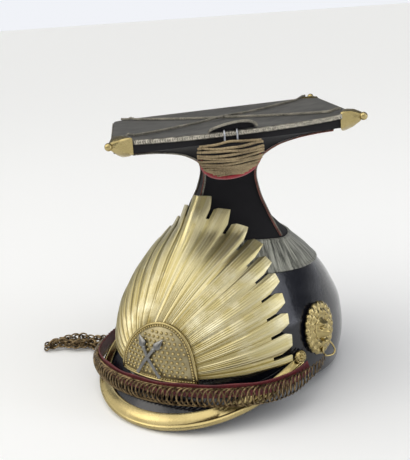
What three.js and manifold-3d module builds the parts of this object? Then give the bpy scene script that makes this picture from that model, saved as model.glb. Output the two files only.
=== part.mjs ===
// A lancer's cap (czapka): a patent-leather skull, a waisted cloth tower, a square leather-topped
// board with brass corner fittings, a brass sunburst plate with a half-round medallion, a visor with
// a brass rim, a ring-chain chin strap hung between two lion-head bosses, and a cockade.
//
// Millimetres, +Z up, +X to the wearer's left, -Y to the front. The cap rests as it would on a table:
// on the tip of its visor rim and on the rear edge of its skull, so everything above the visor is
// built upright in the cap's own frame and then leaned back by REST_TILT.

import * as THREE from 'three';
import { mergeVertices } from 'three/addons/utils/BufferGeometryUtils.js';
import Module from 'manifold-3d';

const wasm = await Module();
wasm.setup();

// ---- Driving dimensions ----

const GAP = 0.3; // clearance between pieces that touch on the real cap
const REST_TILT = 6.3; // degrees the cap leans back when it rests
const REAR = 110; // the skull's rear edge, behind its centre
const LEATHER = 2.5; // skull wall
const EDGE_TURN = 0.4; // rounding of the skull's lower edge
const CLOTH = 2.2; // tower wall
const WAIST = 170; // height of the tower's narrowest section

// Sections of the body, from the head opening up to the board. side and front are the half widths
// across and fore-and-aft, centre is the section's place along Y, power is 2 for an ellipse and 1
// for a diamond, and slant runs from 0, level, to 1, turned with the board.
const SECTIONS = [
  { z: 0, side: 88, front: 110, centre: 0, power: 2, slant: 0 },
  { z: 25, side: 92, front: 113, centre: -1, power: 2, slant: 0 },
  { z: 50, side: 90, front: 108, centre: -1, power: 2, slant: 0 },
  { z: 75, side: 81, front: 94, centre: -2, power: 2, slant: 0 },
  { z: 100, side: 68, front: 75, centre: -5, power: 1.8, slant: 0 },
  { z: 118, side: 56, front: 58, centre: -9, power: 1.45, slant: 0 },
  { z: 138, side: 43.5, front: 43.5, centre: -12.5, power: 1.08, slant: 0.15 },
  { z: 155, side: 34, front: 34, centre: -13.5, power: 1, slant: 0.4 },
  { z: 170, side: 30, front: 30, centre: -14, power: 1, slant: 0.65 },
  { z: 181.5, side: 34, front: 34, centre: -14.5, power: 1, slant: 0.8 },
  { z: 193, side: 52, front: 52, centre: -15.5, power: 1, slant: 0.95 },
  { z: 200.5, side: 80, front: 80, centre: -16.5, power: 1, slant: 1 },
  { z: 204.5, side: 108, front: 108, centre: -17.5, power: 1, slant: 1 },
  { z: 207.2, side: 141.4, front: 141.4, centre: -18.2, power: 1, slant: 1 },
];
const BOARD_PITCH = 5.9; // degrees the board's front is lower than its back
const BOARD_LEAN = 3.93; // degrees the board's wearer's-left corner stands higher
const BOARD_CENTRE = -19.4; // the board's centre along Y
const BOARD_TOP = 218.6; // height of the board's top at its centre
const BOARD_THICK = 3;
const BOARD_DIAGONAL = 141.4; // from the centre to a corner before the corner is cut off
const CORNER_CUT = 132.3; // from the centre to the cut corner's face
const BOARD_SAG = 3; // how far the top is dished
const EDGE_DIP = 3.5; // how far the board's front-left edge has dropped at its middle

const BAND = { bottom: 93.5, top: 118, gap: 0.7, thick: 1.3 }; // lace band round the tower's foot
const TOWER_HEIGHTS = [132, 145, 158, WAIST, 180, 190, 199]; // sections between the lace band and the board
const SKULL_TOP = 106; // where the visible skull ends under the lace band
const CROWN = 150; // top of the skull's closed crown, inside the tower

// Bundles of the sunburst, from the top one round to the lowest: the ray's direction from the plate's
// centre in degrees off upright, its length, and the same for the notch that follows it.
const RAYS = [
  { angle: 0, length: 159, notchAngle: 4.5, notch: 146 },
  { angle: 8, length: 149, notchAngle: 12.8, notch: 136 },
  { angle: 17, length: 139, notchAngle: 22, notch: 128 },
  { angle: 26.5, length: 133, notchAngle: 31.6, notch: 122 },
  { angle: 36.5, length: 127.5, notchAngle: 41.2, notch: 118 },
  { angle: 46.1, length: 125, notchAngle: 51.3, notch: 115 },
  { angle: 56, length: 123.5, notchAngle: 61.4, notch: 114.5 },
  { angle: 66.1, length: 124, notchAngle: 70.6, notch: 115.5 },
  { angle: 75.5, length: 125.5, notchAngle: 80, notch: 116 },
  { angle: 82.5, length: 125.5, notchAngle: 84.8, notch: 112 },
];
const PLATE = { arc: 2, height: 12, inner: 24, thick: 0.9, lift: 4.7, flute: 1.1 };
const MEDALLION = { arc: 11, half: 37, high: 47.5, border: 4, thick: 1.2, lift: 6.9, dome: 1.6, rise: 1 };

const VISOR = { endAngle: 77, foot: 2, end: 31, thick: 2, bulge: 0.4 };
const VISOR_EDGE = { halfWidth: 95, rear: 28.2, reach: 104.6, tip: 2.1, end: 36, power: 2.27 };
const RIM = { width: 11.5, thick: 0.9, gap: 0.6, endGap: 0.4 };

const BOSS = { angle: 89, z: 44, radius: 23, rim: 2.4, relief: 10 };
const BOSS_RING = { radius: 8.5, wire: 1, drop: 13 };
const CHAIN = { height: 16.2, thick: 3.2 }; // the chin chain's rings stand on edge, side by side
const STRAP = { thick: 1.2, above: 9.6, below: 0 };

// Links of the chain's free tail, which lies on the surface at the wearer's right. tilt and turn point
// a link's axis (0 tilt lies flat), and lift raises a link that hangs above the surface.
const TAIL = { radius: 7.3, wire: 0.9 };
const TAIL_LINKS = [
  { x: -116.2, y: -46, tilt: 84, turn: 60, lift: 8 },
  { x: -124, y: -45.5, tilt: 70, turn: 110, lift: 1 },
  { x: -132, y: -47, tilt: 30, turn: 60, lift: 0 },
  { x: -140.5, y: -50, tilt: 38, turn: 190, lift: 0 },
  { x: -148.1, y: -53.4, tilt: 27, turn: 79, lift: 0 },
  { x: -157, y: -57.6, tilt: 56, turn: -4, lift: 0 },
  { x: -165.2, y: -61.6, tilt: 84, turn: -69, lift: 0 },
  { x: -172.9, y: -65.9, tilt: 68, turn: -24, lift: 0 },
  { x: -179.8, y: -70.4, tilt: 77, turn: -58, lift: 0 },
  { x: -181, y: -79, tilt: 16, turn: 30, lift: 0 },
];

// Route of the chin chain's middle line in the resting frame, from the wearer's left boss ring round
// the visor to the right one.
const CHAIN_ROUTE = [
  { x: 103.8, y: -7.6, z: 36.2 },
  { x: 104.5, y: -14, z: 33.4 },
  { x: 101.5, y: -30, z: 28.5 },
  { x: 99.5, y: -46, z: 27 },
  { x: 95, y: -65, z: 27.5 },
  { x: 86.5, y: -83, z: 29.3 },
  { x: 70.5, y: -97, z: 28.8 },
  { x: 52, y: -108.5, z: 28.7 },
  { x: 30, y: -118, z: 28 },
  { x: 6, y: -123, z: 27.5 },
  { x: -24, y: -122, z: 26.2 },
  { x: -47, y: -116.5, z: 25.2 },
  { x: -65, y: -108.5, z: 24 },
  { x: -80, y: -98.5, z: 22.5 },
  { x: -93, y: -83, z: 21.5 },
  { x: -102.4, y: -66, z: 20.5 },
  { x: -107.3, y: -50, z: 21.5 },
  { x: -107.6, y: -32, z: 26 },
  { x: -105.4, y: -14, z: 33.4 },
  { x: -103.8, y: -5.6, z: 36 },
];

const COLOURS = {
  patentLeather: { color: 0x15171c, roughness: 0.25, metalness: 0 },
  innerLeather: { color: 0x2b2018, roughness: 0.7, metalness: 0 },
  topLeather: { color: 0x4a4a48, roughness: 0.7, metalness: 0 },
  cloth: { color: 0x0d0e12, roughness: 0.95, metalness: 0 },
  brass: { color: 0xc9b26a, roughness: 0.3, metalness: 1 },
  whiteMetal: { color: 0x8f9096, roughness: 0.35, metalness: 1 },
  silverBraid: { color: 0x8c877b, roughness: 0.6, metalness: 0.4 },
  piping: { color: 0x5e4a48, roughness: 0.8, metalness: 0 },
  redCloth: { color: 0x8f1f33, roughness: 0.9, metalness: 0 },
  cockade: { color: 0x9a8468, roughness: 0.7, metalness: 0.2 },
  bronze: { color: 0x4a3b28, roughness: 0.45, metalness: 1 },
};

// ---- Geometry tools ----

const rad = THREE.MathUtils.degToRad;
const vec = (x, y, z) => new THREE.Vector3(x, y, z);
const UP = vec(0, 0, 1);

// A smooth curve through one column of a table that never overshoots its rows.
function column(table, input, output) {
  const x = table.map((row) => row[input]);
  const y = table.map((row) => row[output]);
  const step = (i) => x[i + 1] - x[i];
  const rise = (i) => (y[i + 1] - y[i]) / step(i);
  const slope = x.map((_, i) => {
    if (i === 0) return rise(0);
    if (i === x.length - 1) return rise(i - 1);
    const before = rise(i - 1);
    const after = rise(i);
    if (before * after <= 0) return 0;
    const a = 2 * step(i) + step(i - 1);
    const b = step(i) + 2 * step(i - 1);
    return (a + b) / (a / before + b / after);
  });
  return (at) => {
    let i = 0;
    while (i < x.length - 2 && at > x[i + 1]) i += 1;
    const h = step(i);
    const t = THREE.MathUtils.clamp((at - x[i]) / h, 0, 1);
    const s = 1 - t;
    return y[i] * s * s * (1 + 2 * t) + y[i + 1] * t * t * (1 + 2 * s)
      + h * s * t * (slope[i] * s - slope[i + 1] * t);
  };
}

const bodySide = column(SECTIONS, 'z', 'side');
const bodyFront = column(SECTIONS, 'z', 'front');
const bodyCentre = column(SECTIONS, 'z', 'centre');
const bodyPower = column(SECTIONS, 'z', 'power');
const bodySlant = column(SECTIONS, 'z', 'slant');

// Turns a point of a section with the board, by a share of the board's pitch and lean.
function slanted(x, y, up, share) {
  const lean = rad(BOARD_LEAN * share);
  const pitch = rad(BOARD_PITCH * share);
  const z = x * Math.sin(lean) + up;
  return vec(
    x * Math.cos(lean),
    y * Math.cos(pitch) - z * Math.sin(pitch),
    y * Math.sin(pitch) + z * Math.cos(pitch),
  );
}

// A point on the body at height z. The angle runs from the front round to the wearer's left.
function onBody(z, angle, grow = 0, minPower = 1, cut = Infinity) {
  const power = Math.max(bodyPower(z), minPower);
  const across = (t) => Math.sign(t) * Math.abs(t) ** (2 / power);
  const clamp = (t) => THREE.MathUtils.clamp(t, -cut, cut);
  const x = clamp((bodySide(z) + grow) * across(Math.sin(angle)));
  const y = clamp(-(bodyFront(z) + grow) * across(Math.cos(angle)));
  const point = slanted(x, y, 0, bodySlant(z));
  return point.add(vec(0, bodyCentre(z), z));
}

// A point given in the board's own frame: x and y in its plane, up from its top face.
function onBoard(x, y, up) {
  const toEdge = Math.max(0, (x - y) / BOARD_DIAGONAL);
  const along = (x + y) / BOARD_DIAGONAL;
  const dip = EDGE_DIP * toEdge ** 2 * Math.max(0, 1 - along * along);
  return slanted(x, y, up - dip, 1).add(vec(0, BOARD_CENTRE, BOARD_TOP));
}

// The cap's frame to the resting frame.
function resting(point) {
  const tilt = rad(-REST_TILT);
  const lifted = point.clone().sub(vec(0, REAR, 0));
  return lifted.applyAxisAngle(vec(1, 0, 0), tilt).add(vec(0, REAR, 0));
}

function volumeOf(positions, faces) {
  const corner = (i) => vec(positions[3 * i], positions[3 * i + 1], positions[3 * i + 2]);
  let sum = 0;
  for (let i = 0; i < faces.length; i += 3) {
    const [a, b, c] = [corner(faces[i]), corner(faces[i + 1]), corner(faces[i + 2])];
    sum += a.dot(b.cross(c));
  }
  return sum;
}

// A closed body from its points and triangles, turned so that its faces point out.
function closedBody(positions, faces) {
  if (volumeOf(positions, faces) < 0) faces.reverse();
  const geometry = new THREE.BufferGeometry();
  geometry.setAttribute('position', new THREE.Float32BufferAttribute(positions, 3));
  geometry.setIndex(faces);
  geometry.computeVertexNormals();
  return geometry;
}

// Skins a row of equal rings. A looped row closes on itself; otherwise both ends are capped, with a
// fan round the ring's middle or, on a hollow section, with the triangles in capFaces.
function skin(rings, looped = false, capFaces = null) {
  const count = rings[0].length;
  const positions = rings.flat().flatMap((p) => p.toArray());
  const faces = [];
  const bays = looped ? rings.length : rings.length - 1;
  for (let r = 0; r < bays; r += 1) {
    const here = r * count;
    const next = ((r + 1) % rings.length) * count;
    for (let k = 0; k < count; k += 1) {
      const after = (k + 1) % count;
      faces.push(here + k, here + after, next + after, here + k, next + after, next + k);
    }
  }
  if (!looped) {
    for (const [ring, turned] of [[0, true], [rings.length - 1, false]]) {
      if (capFaces) {
        for (const corners of capFaces) {
          const face = corners.map((k) => ring * count + k);
          faces.push(...(turned ? face : face.reverse()));
        }
        continue;
      }
      const hub = positions.length / 3;
      const middle = rings[ring].reduce((sum, p) => sum.add(p), vec(0, 0, 0)).divideScalar(count);
      positions.push(...middle.toArray());
      for (let k = 0; k < count; k += 1) {
        const a = ring * count + k;
        const b = ring * count + ((k + 1) % count);
        faces.push(hub, ...(turned ? [b, a] : [a, b]));
      }
    }
  }
  return closedBody(positions, faces);
}

// A sheet with two faces, from grids of points on its outer and inner sides.
function sheet(outer, inner) {
  const rows = outer.length;
  const across = outer[0].length;
  const positions = [...outer.flat(), ...inner.flat()].flatMap((p) => p.toArray());
  const faces = [];
  const quad = (a, b, c, d) => faces.push(a, b, c, a, c, d);
  const at = (side, r, k) => side * rows * across + r * across + k;
  for (let r = 0; r < rows - 1; r += 1) {
    for (let k = 0; k < across - 1; k += 1) {
      quad(at(0, r, k), at(0, r, k + 1), at(0, r + 1, k + 1), at(0, r + 1, k));
      quad(at(1, r, k), at(1, r + 1, k), at(1, r + 1, k + 1), at(1, r, k + 1));
    }
    quad(at(0, r, 0), at(0, r + 1, 0), at(1, r + 1, 0), at(1, r, 0));
    quad(at(0, r, across - 1), at(1, r, across - 1), at(1, r + 1, across - 1), at(0, r + 1, across - 1));
  }
  for (let k = 0; k < across - 1; k += 1) {
    quad(at(0, 0, k), at(1, 0, k), at(1, 0, k + 1), at(0, 0, k + 1));
    quad(at(0, rows - 1, k), at(0, rows - 1, k + 1), at(1, rows - 1, k + 1), at(1, rows - 1, k));
  }
  return closedBody(positions, faces);
}

// A bar that follows a route: each corner of its section is [across, up], times its size there.
function bar(route, corners, upward, size = () => 1) {
  const last = route.length - 1;
  const rings = route.map((point, i) => {
    const along = route[Math.min(i + 1, last)].clone().sub(route[Math.max(i - 1, 0)]).normalize();
    const side = along.clone().cross(upward(i)).normalize();
    const top = side.clone().cross(along).normalize();
    return corners.map(([a, b]) => (
      point.clone().addScaledVector(side, a * size(i)).addScaledVector(top, b * size(i))
    ));
  });
  return skin(rings);
}

function roundSection(radius, sides, flat = 1) {
  const turn = (k) => (2 * Math.PI * (k + 0.5)) / sides;
  return Array.from({ length: sides }, (_, k) => [radius * Math.cos(turn(k)), radius * flat * Math.sin(turn(k))]);
}

function solid(geometry) {
  const bare = new THREE.BufferGeometry();
  bare.setAttribute('position', geometry.getAttribute('position').clone());
  if (geometry.index) bare.setIndex(geometry.index.clone());
  const merged = mergeVertices(bare, 1e-4);
  const vertProperties = new Float32Array(merged.getAttribute('position').array);
  const triVerts = new Uint32Array(merged.index.array);
  return new wasm.Manifold(new wasm.Mesh({ numProp: 3, vertProperties, triVerts }));
}

function geometryOf(manifold) {
  const mesh = manifold.getMesh();
  const geometry = new THREE.BufferGeometry();
  geometry.setAttribute('position', new THREE.Float32BufferAttribute(mesh.vertProperties, 3));
  geometry.setIndex(Array.from(mesh.triVerts));
  geometry.computeVertexNormals();
  return geometry;
}

const joined = (parts) => geometryOf(parts.map(solid).reduce((whole, part) => whole.add(part)));

// Cuts a piece flat where it meets the surface that the cap rests on.
function trimmedToSurface(geometry, inCapFrame) {
  const slab = new THREE.BoxGeometry(600, 600, 40).translate(0, 0, -20);
  if (inCapFrame) {
    slab.translate(0, -REAR, 0).rotateX(rad(REST_TILT)).translate(0, REAR, 0);
  }
  return geometryOf(solid(geometry).subtract(solid(slab)));
}

function mesh(name, geometry, finish) {
  const piece = new THREE.Mesh(geometry, new THREE.MeshStandardMaterial(COLOURS[finish]));
  piece.name = name;
  return piece;
}

// Angles of a body ring: four corners, with a point on each side of every cut corner.
const QUARTER = [0, 14.7, 25, 35, 45, 55, 65, 75.3];
const RING = [0, 90, 180, 270].flatMap((start) => QUARTER.map((step) => rad(start + step)));
const bodyRing = (z, grow, lift = 0, cut = Infinity) => RING.map((angle) => (
  onBody(z, angle, grow, 1, cut).add(vec(0, 0, lift))
));

// ---- Skull and tower ----

// The patent-leather skull: a thin wall that fits the head and ends under the lace band.
function skull() {
  const wall = [0.8, 20, 40, 60, 78, BAND.bottom, SKULL_TOP];
  const outside = [bodyRing(-EDGE_TURN, -EDGE_TURN), ...wall.map((z) => bodyRing(z, 0))];
  const inside = [bodyRing(-EDGE_TURN, EDGE_TURN - LEATHER), ...wall.map((z) => bodyRing(z, -LEATHER))];
  return trimmedToSurface(skin([...inside.reverse(), ...outside], true), true);
}

// The skull's domed crown. It laps inside the top of the wall and closes the skull inside the tower.
function crown() {
  const heights = [SKULL_TOP - 6, SKULL_TOP + GAP, 124, 141];
  const inTower = -CLOTH - 1;
  const share = (z) => Math.sqrt(1 - (Math.max(0, z - SKULL_TOP) / (CROWN - SKULL_TOP)) ** 2);
  const ring = (z, grow, lift) => {
    const axis = vec(0, bodyCentre(z), z + lift);
    return bodyRing(z, grow, lift).map((p) => axis.clone().lerp(p, share(z)));
  };
  const outside = heights.map((z) => ring(z, inTower, 0));
  const inside = heights.map((z) => ring(z, inTower - LEATHER, z > SKULL_TOP ? -LEATHER / 2 : 0));
  // the two skins are one surface: down the inside, round the lower edge and up the outside
  return skin([...inside.reverse(), ...outside]);
}

// The cloth tower: square in plan, narrow at its waist and flared out under the board.
function tower() {
  const heights = [SKULL_TOP + 2 * GAP, BAND.top, ...TOWER_HEIGHTS, SECTIONS.at(-1).z];
  const thinning = (z) => (z > WAIST ? CLOTH * 0.75 : 0);
  const outside = heights.map((z) => bodyRing(z, 0, 0, CORNER_CUT));
  const inside = heights.map((z) => bodyRing(z, -CLOTH, thinning(z), CORNER_CUT - CLOTH));
  const side = boardRing(BOARD_DIAGONAL, -BOARD_THICK - GAP, CORNER_CUT);
  const innerSide = boardRing(BOARD_DIAGONAL - CLOTH, -BOARD_THICK - GAP, CORNER_CUT - CLOTH);
  inside.pop();
  return skin([...outside, side, innerSide, ...inside.reverse()], true);
}

// ---- Board ----

// A square ring in the board's frame, with its corners cut off.
function boardRing(diagonal, up, cut) {
  const clamp = (t) => THREE.MathUtils.clamp(t, -cut, cut);
  return RING.map((angle) => onBoard(
    clamp(diagonal * Math.sign(Math.sin(angle)) * Math.sin(angle) ** 2),
    clamp(-diagonal * Math.sign(Math.cos(angle)) * Math.cos(angle) ** 2),
    up,
  ));
}

const dish = (share) => -BOARD_SAG * (1 - share * share);

function topBoard() {
  const ring = (share) => boardRing(BOARD_DIAGONAL * share, dish(share), CORNER_CUT * share);
  const underside = boardRing(BOARD_DIAGONAL * 0.6, -BOARD_SAG - BOARD_THICK, CORNER_CUT * 0.6);
  return skin([
    ring(0.03), ring(0.35), ring(0.7), ring(1),
    boardRing(BOARD_DIAGONAL, -BOARD_THICK, CORNER_CUT),
    underside,
  ]);
}

// Two cords from corner to corner, fused where they cross.
function crossCords() {
  const radius = 1.2;
  const fitted = 117; // the cords run up to the tongues of the fittings
  const steps = 10;
  const cord = (dx, dy, from, to, rise) => {
    const route = Array.from({ length: steps + 1 }, (_, i) => {
      const along = from + ((to - from) * i) / steps;
      const hump = rise * Math.max(0, 1 - Math.abs(along) / 35);
      const surface = dish(Math.abs(along) / BOARD_DIAGONAL);
      return onBoard(dx * along, dy * along, surface + radius + GAP + 0.5 + hump);
    });
    const curve = new THREE.CatmullRomCurve3(route, false, 'centripetal');
    const section = new THREE.Shape(roundSection(radius, 6).map(([x, y]) => new THREE.Vector2(x, y)));
    return new THREE.ExtrudeGeometry(section, { steps: 12, extrudePath: curve, bevelEnabled: false });
  };
  return joined([cord(0, 1, -fitted, fitted, 1), cord(1, 0, 1 - CORNER_CUT, fitted, 0)]);
}

// Flat braid round the board's edge. It stops short on both sides of the bare right-hand corner.
function edgeBraid() {
  const thick = 1.2;
  const [top, bottom] = [-0.2, -5.6];
  const outline = [];
  const corners = [[-1, 0], [0, -1], [1, 0], [0, 1], [-1, 0]];
  for (let side = 0; side < 4; side += 1) {
    const [ax, ay] = corners[side];
    const [bx, by] = corners[side + 1];
    const cut = 1 - CORNER_CUT / BOARD_DIAGONAL;
    const first = side === 0 ? 0.13 : cut;
    const last = side === 3 ? 0.13 : cut;
    for (const t of [first, 0.3, 0.5, 0.7, 1 - last]) {
      outline.push([ax + (bx - ax) * t, ay + (by - ay) * t]);
    }
  }
  const ring = (grow, up) => outline.map(([x, y]) => {
    const size = BOARD_DIAGONAL + grow;
    const cut = CORNER_CUT + Math.min(grow * 0.7, 0.7);
    return onBoard(
      THREE.MathUtils.clamp(x * size, -cut, cut),
      THREE.MathUtils.clamp(y * size, -cut, cut),
      up,
    );
  });
  const near = GAP * Math.SQRT2;
  const far = (GAP + thick) * Math.SQRT2;
  return sheet([ring(far, top), ring(far, bottom)], [ring(near, top), ring(near, bottom)]);
}

// A brass hood over a board corner, with a tongue on the top, a cut nose and a ball finial.
function cornerFitting(turn) {
  const wall = 1;
  const ring = (reach, half, top, bottom, tongue) => [
    [reach, -half, bottom + 3], [reach, -half, top], [reach - tongue * 0.7, -half * 0.45, top + 0.4],
    [reach - tongue, 0, top + 0.6], [reach - tongue * 0.7, half * 0.45, top + 0.4], [reach, half, top],
    [reach, half, bottom + 3], [reach - 1, 0, bottom],
  ].map(([out, across, up]) => onBoard(
    out * Math.cos(turn) - across * Math.sin(turn),
    out * Math.sin(turn) + across * Math.cos(turn),
    up,
  ));
  const outside = [
    ring(126, 19, 1.8, -17, 7),
    ring(131, 14, 1.8, -16.2, 4),
    ring(135.4, 8.8, 1, -13.2, 0),
    ring(137, 3.6, -1.8, -8.6, 0),
  ];
  const inside = [
    ring(126, 19 - wall, 0.8, -17 + wall, 7),
    ring(131, 14 - wall, 0.8, -16.2 + wall, 4),
    ring(135.4 - wall, 8.8 - wall, 0, -13.2 + wall, 0),
  ];
  const hood = skin([...inside.reverse(), ...outside]);
  const ball = new THREE.SphereGeometry(3.3, 10, 6);
  const seat = onBoard(136.5 * Math.cos(turn), 136.5 * Math.sin(turn), -4.4);
  ball.translate(seat.x, seat.y, seat.z);
  return joined([hood, ball]);
}

// ---- Trim on the tower ----

function galloon() {
  const heights = [BAND.bottom, SKULL_TOP + 2 * GAP, BAND.top];
  const outside = heights.map((z) => bodyRing(z, BAND.gap + BAND.thick));
  const inside = heights.map((z) => bodyRing(z, BAND.gap));
  return skin([...outside, ...inside.reverse()], true);
}

// A doubled cord along one ridge of the tower, from the lace band to the corner fitting.
function piping(angle) {
  const heights = [BAND.top + 1, ...TOWER_HEIGHTS, 205.2];
  const ridge = heights.map((z) => onBody(z, angle));
  const axis = heights.map((z) => vec(0, bodyCentre(z), z));
  const outward = (i) => {
    const before = ridge[Math.max(i - 1, 0)];
    const after = ridge[Math.min(i + 1, ridge.length - 1)];
    const along = after.clone().sub(before).normalize();
    const out = ridge[i].clone().sub(axis[i]).normalize();
    return out.addScaledVector(along, -out.dot(along)).normalize();
  };
  const route = ridge.map((p, i) => p.clone().addScaledVector(outward(i), 1.4));
  return bar(route, roundSection(1.5, 6, 0.65), outward);
}

// ---- Cockade and plume pocket, at the middle of the board's front-left edge ----

// A point by the middle of that edge: along it, out from its face and up from the board's top.
function byEdge(along, out, up) {
  const apothem = BOARD_DIAGONAL / Math.SQRT2;
  const radial = apothem + out;
  return onBoard((radial + along) / Math.SQRT2, (-radial + along) / Math.SQRT2, up);
}

// The cockade's oval, shallow and domed: its top edge is nearly straight, its foot tucks inward.
function cockadePoint(share, angle, lift) {
  const half = 26.5;
  const [above, below] = [8, 27];
  const [x, y] = [Math.sin(angle), Math.cos(angle)];
  const power = y > 0 ? 0.45 : 1;
  const across = share * half * Math.sign(x) * Math.abs(x) ** (y > 0 ? 0.8 : 0.9);
  const height = share * (y > 0 ? above : below) * Math.sign(y) * Math.abs(y) ** power;
  const lower = (1 - share) * -9;
  const down = -15.5 + height + lower;
  const dome = 5 * (1 - share * share);
  const tuck = -0.012 * (down + 6) ** 2;
  return byEdge(across - 6, 4 + dome + tuck + lift, down);
}

function cockade() {
  const sides = 18;
  const rows = [1, 0.8, 0.6, 0.4, 0.2];
  const turn = (k) => (2 * Math.PI * k) / sides;
  const ring = (share, lift) => Array.from({ length: sides }, (_, k) => cockadePoint(share, turn(k), lift));
  const face = rows.flatMap((share, i) => (
    i === 0 ? [ring(share, 0), ring(share - 0.03, 0.9)] : [ring(share + 0.04, 0.2), ring(share - 0.03, 0.9)]
  ));
  const back = [0.2, 1].map((share) => ring(share, -1.6));
  return skin([...back, ...face]);
}

// The red backing that shows as a rim under the cockade's foot.
function cockadeBacking() {
  const sides = 18;
  const turn = (k) => (2 * Math.PI * k) / sides;
  const ring = (share, lift) => Array.from({ length: sides }, (_, k) => (
    cockadePoint(share + 0.12 * Math.max(0, -Math.cos(turn(k))), turn(k), lift)
  ));
  return skin([ring(0.2, -4.2), ring(0.97, -4.2), ring(0.97, -2.7), ring(0.2, -2.7)]);
}

// The raised mouth that takes a plume: a half cone in the top leather, open at the board's edge.
function plumePocket() {
  const wall = 1.2;
  const sides = 10;
  const arch = (half, high, out, lift) => Array.from({ length: sides + 1 }, (_, k) => {
    const turn = (Math.PI * k) / sides;
    return byEdge(half * Math.cos(turn) - 5, out, lift + high * Math.sin(turn) ** 0.8);
  });
  const outer = [arch(18.5, 9.5, 1, GAP), arch(15, 6.4, -9, GAP), arch(9, 2.6, -19, GAP)];
  const inner = [
    arch(18.5 - wall, 9.5 - wall, 1, GAP),
    arch(15 - wall, 6.4 - wall, -9, GAP),
    arch(9 - wall, 2.6 - wall, -19, GAP),
  ];
  return sheet(outer, inner);
}

// ---- Sunburst plate, medallion and device ----

const slantHeights = Array.from({ length: 44 }, (_, i) => i * 4);
const slantLengths = (() => {
  let sum = 0;
  return slantHeights.map((z, i) => {
    if (i > 0) sum += onBody(z, 0).distanceTo(onBody(z - 4, 0));
    return { length: sum, z };
  });
})();
const heightAlongFront = column(slantLengths, 'length', 'z');

// Lays a flat point on the front of the body: arc round it, slant up it from the lower edge, lift off it.
const PLATE_POWER = 1.3;
const arcTables = new Map();
function angleAt(z, arc) {
  const key = Math.round(z * 4);
  if (!arcTables.has(key)) {
    const rows = [{ arc: 0, angle: 0 }];
    for (let i = 1; i <= 30; i += 1) {
      const angle = rad(i * 4.5);
      const step = onBody(key / 4, angle, 3, PLATE_POWER).distanceTo(
        onBody(key / 4, rad(i * 4.5 - 4.5), 3, PLATE_POWER),
      );
      rows.push({ arc: rows[i - 1].arc + step, angle });
    }
    arcTables.set(key, column(rows, 'arc', 'angle'));
  }
  return Math.sign(arc) * arcTables.get(key)(Math.abs(arc));
}
function onFront(arc, slant, lift) {
  const z = heightAlongFront(slant);
  return onBody(z, angleAt(z, arc), lift, PLATE_POWER);
}

// A point of the plate by its direction from the plate's centre, off upright, and its distance.
function onPlate(angle, distance, lift) {
  return onFront(
    PLATE.arc + distance * Math.sin(angle),
    PLATE.height + distance * Math.cos(angle),
    lift,
  );
}

function sunPlate() {
  const columns = [];
  RAYS.forEach((ray, i) => {
    const start = i === 0 ? 0 : RAYS[i - 1].notchAngle;
    const middle = (start + ray.notchAngle) / 2;
    const spread = ray.notchAngle - start;
    if (i === 0) columns.push({ angle: 0, length: ray.length, crest: 1 });
    if (i > 0) columns.push({ angle: middle - spread * 0.22, length: ray.length, crest: 1 });
    columns.push({ angle: middle + spread * 0.26, length: ray.length, crest: 1 });
    columns.push({ angle: ray.notchAngle, length: ray.notch, crest: 0 });
  });
  const mirrored = columns.slice(1).reverse().map((ray) => ({ ...ray, angle: -ray.angle }));
  const all = [...mirrored, ...columns];
  const shares = [0, 0.41, 0.71, 1];
  const grid = (lift) => all.map((ray) => shares.map((share) => {
    const distance = PLATE.inner + (ray.length - PLATE.inner) * share;
    return onPlate(rad(ray.angle), distance, PLATE.lift + lift + PLATE.flute * ray.crest * (0.3 + 0.7 * share));
  }));
  return sheet(grid(0), grid(-PLATE.thick));
}

// The half-round medallion: a raised border round a gently domed field.
function medallion() {
  const { half, high, border, thick, lift, dome, rise } = MEDALLION;
  const sides = 16;
  const rows = [
    { share: 0.05, up: dome },
    { share: 0.5, up: dome * 0.75 },
    { share: 1 - border / half, up: 0.3 },
    { share: 1 - border / half, up: rise },
    { share: 1, up: rise },
    { share: 1, up: -thick },
    { share: 0.5, up: dome * 0.75 - thick },
    { share: 0.05, up: dome - thick },
  ];
  // the outline is a half circle above a straight foot, walked as one ring
  const outline = Array.from({ length: sides + 1 }, (_, k) => {
    const turn = (Math.PI * k) / sides;
    const skew = 0.11 * Math.sin(turn) - 0.035 * Math.sin(2 * turn);
    return [Math.cos(turn) + skew, Math.sin(turn)];
  });
  for (const foot of [-0.6, -0.2, 0.2, 0.6]) outline.push([foot, 0]);
  const centre = 0.4;
  const ring = ({ share, up }) => outline.map(([x, y]) => onFront(
    MEDALLION.arc + x * half * share,
    PLATE.height + high * (centre + (y - centre) * share),
    lift + up,
  ));
  return skin(rows.map(ring));
}

// Two crossed lances in white metal, at the medallion's middle.
function lances() {
  const lance = (side) => {
    const outline = new THREE.Shape();
    outline.moveTo(-1.4, -19);
    outline.lineTo(1.4, -19);
    outline.lineTo(1.4, 9);
    outline.lineTo(3.4, 11);
    outline.lineTo(0, 20);
    outline.lineTo(-3.4, 11);
    outline.lineTo(-1.4, 9);
    const bar3d = new THREE.ExtrudeGeometry(outline, { depth: 1.3, bevelEnabled: false });
    return bar3d.rotateZ(rad(34 * side));
  };
  const flat = joined([lance(1), lance(-1)]);
  const place = flat.getAttribute('position');
  for (let i = 0; i < place.count; i += 1) {
    const p = onFront(
      PLATE.arc + 6 + place.getX(i),
      PLATE.height + 19 + place.getY(i),
      MEDALLION.lift + MEDALLION.dome + 4 * GAP + 0.2 + place.getZ(i),
    );
    place.setXYZ(i, p.x, p.y, p.z);
  }
  flat.computeVertexNormals();
  return flat;
}

// ---- Visor ----

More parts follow.
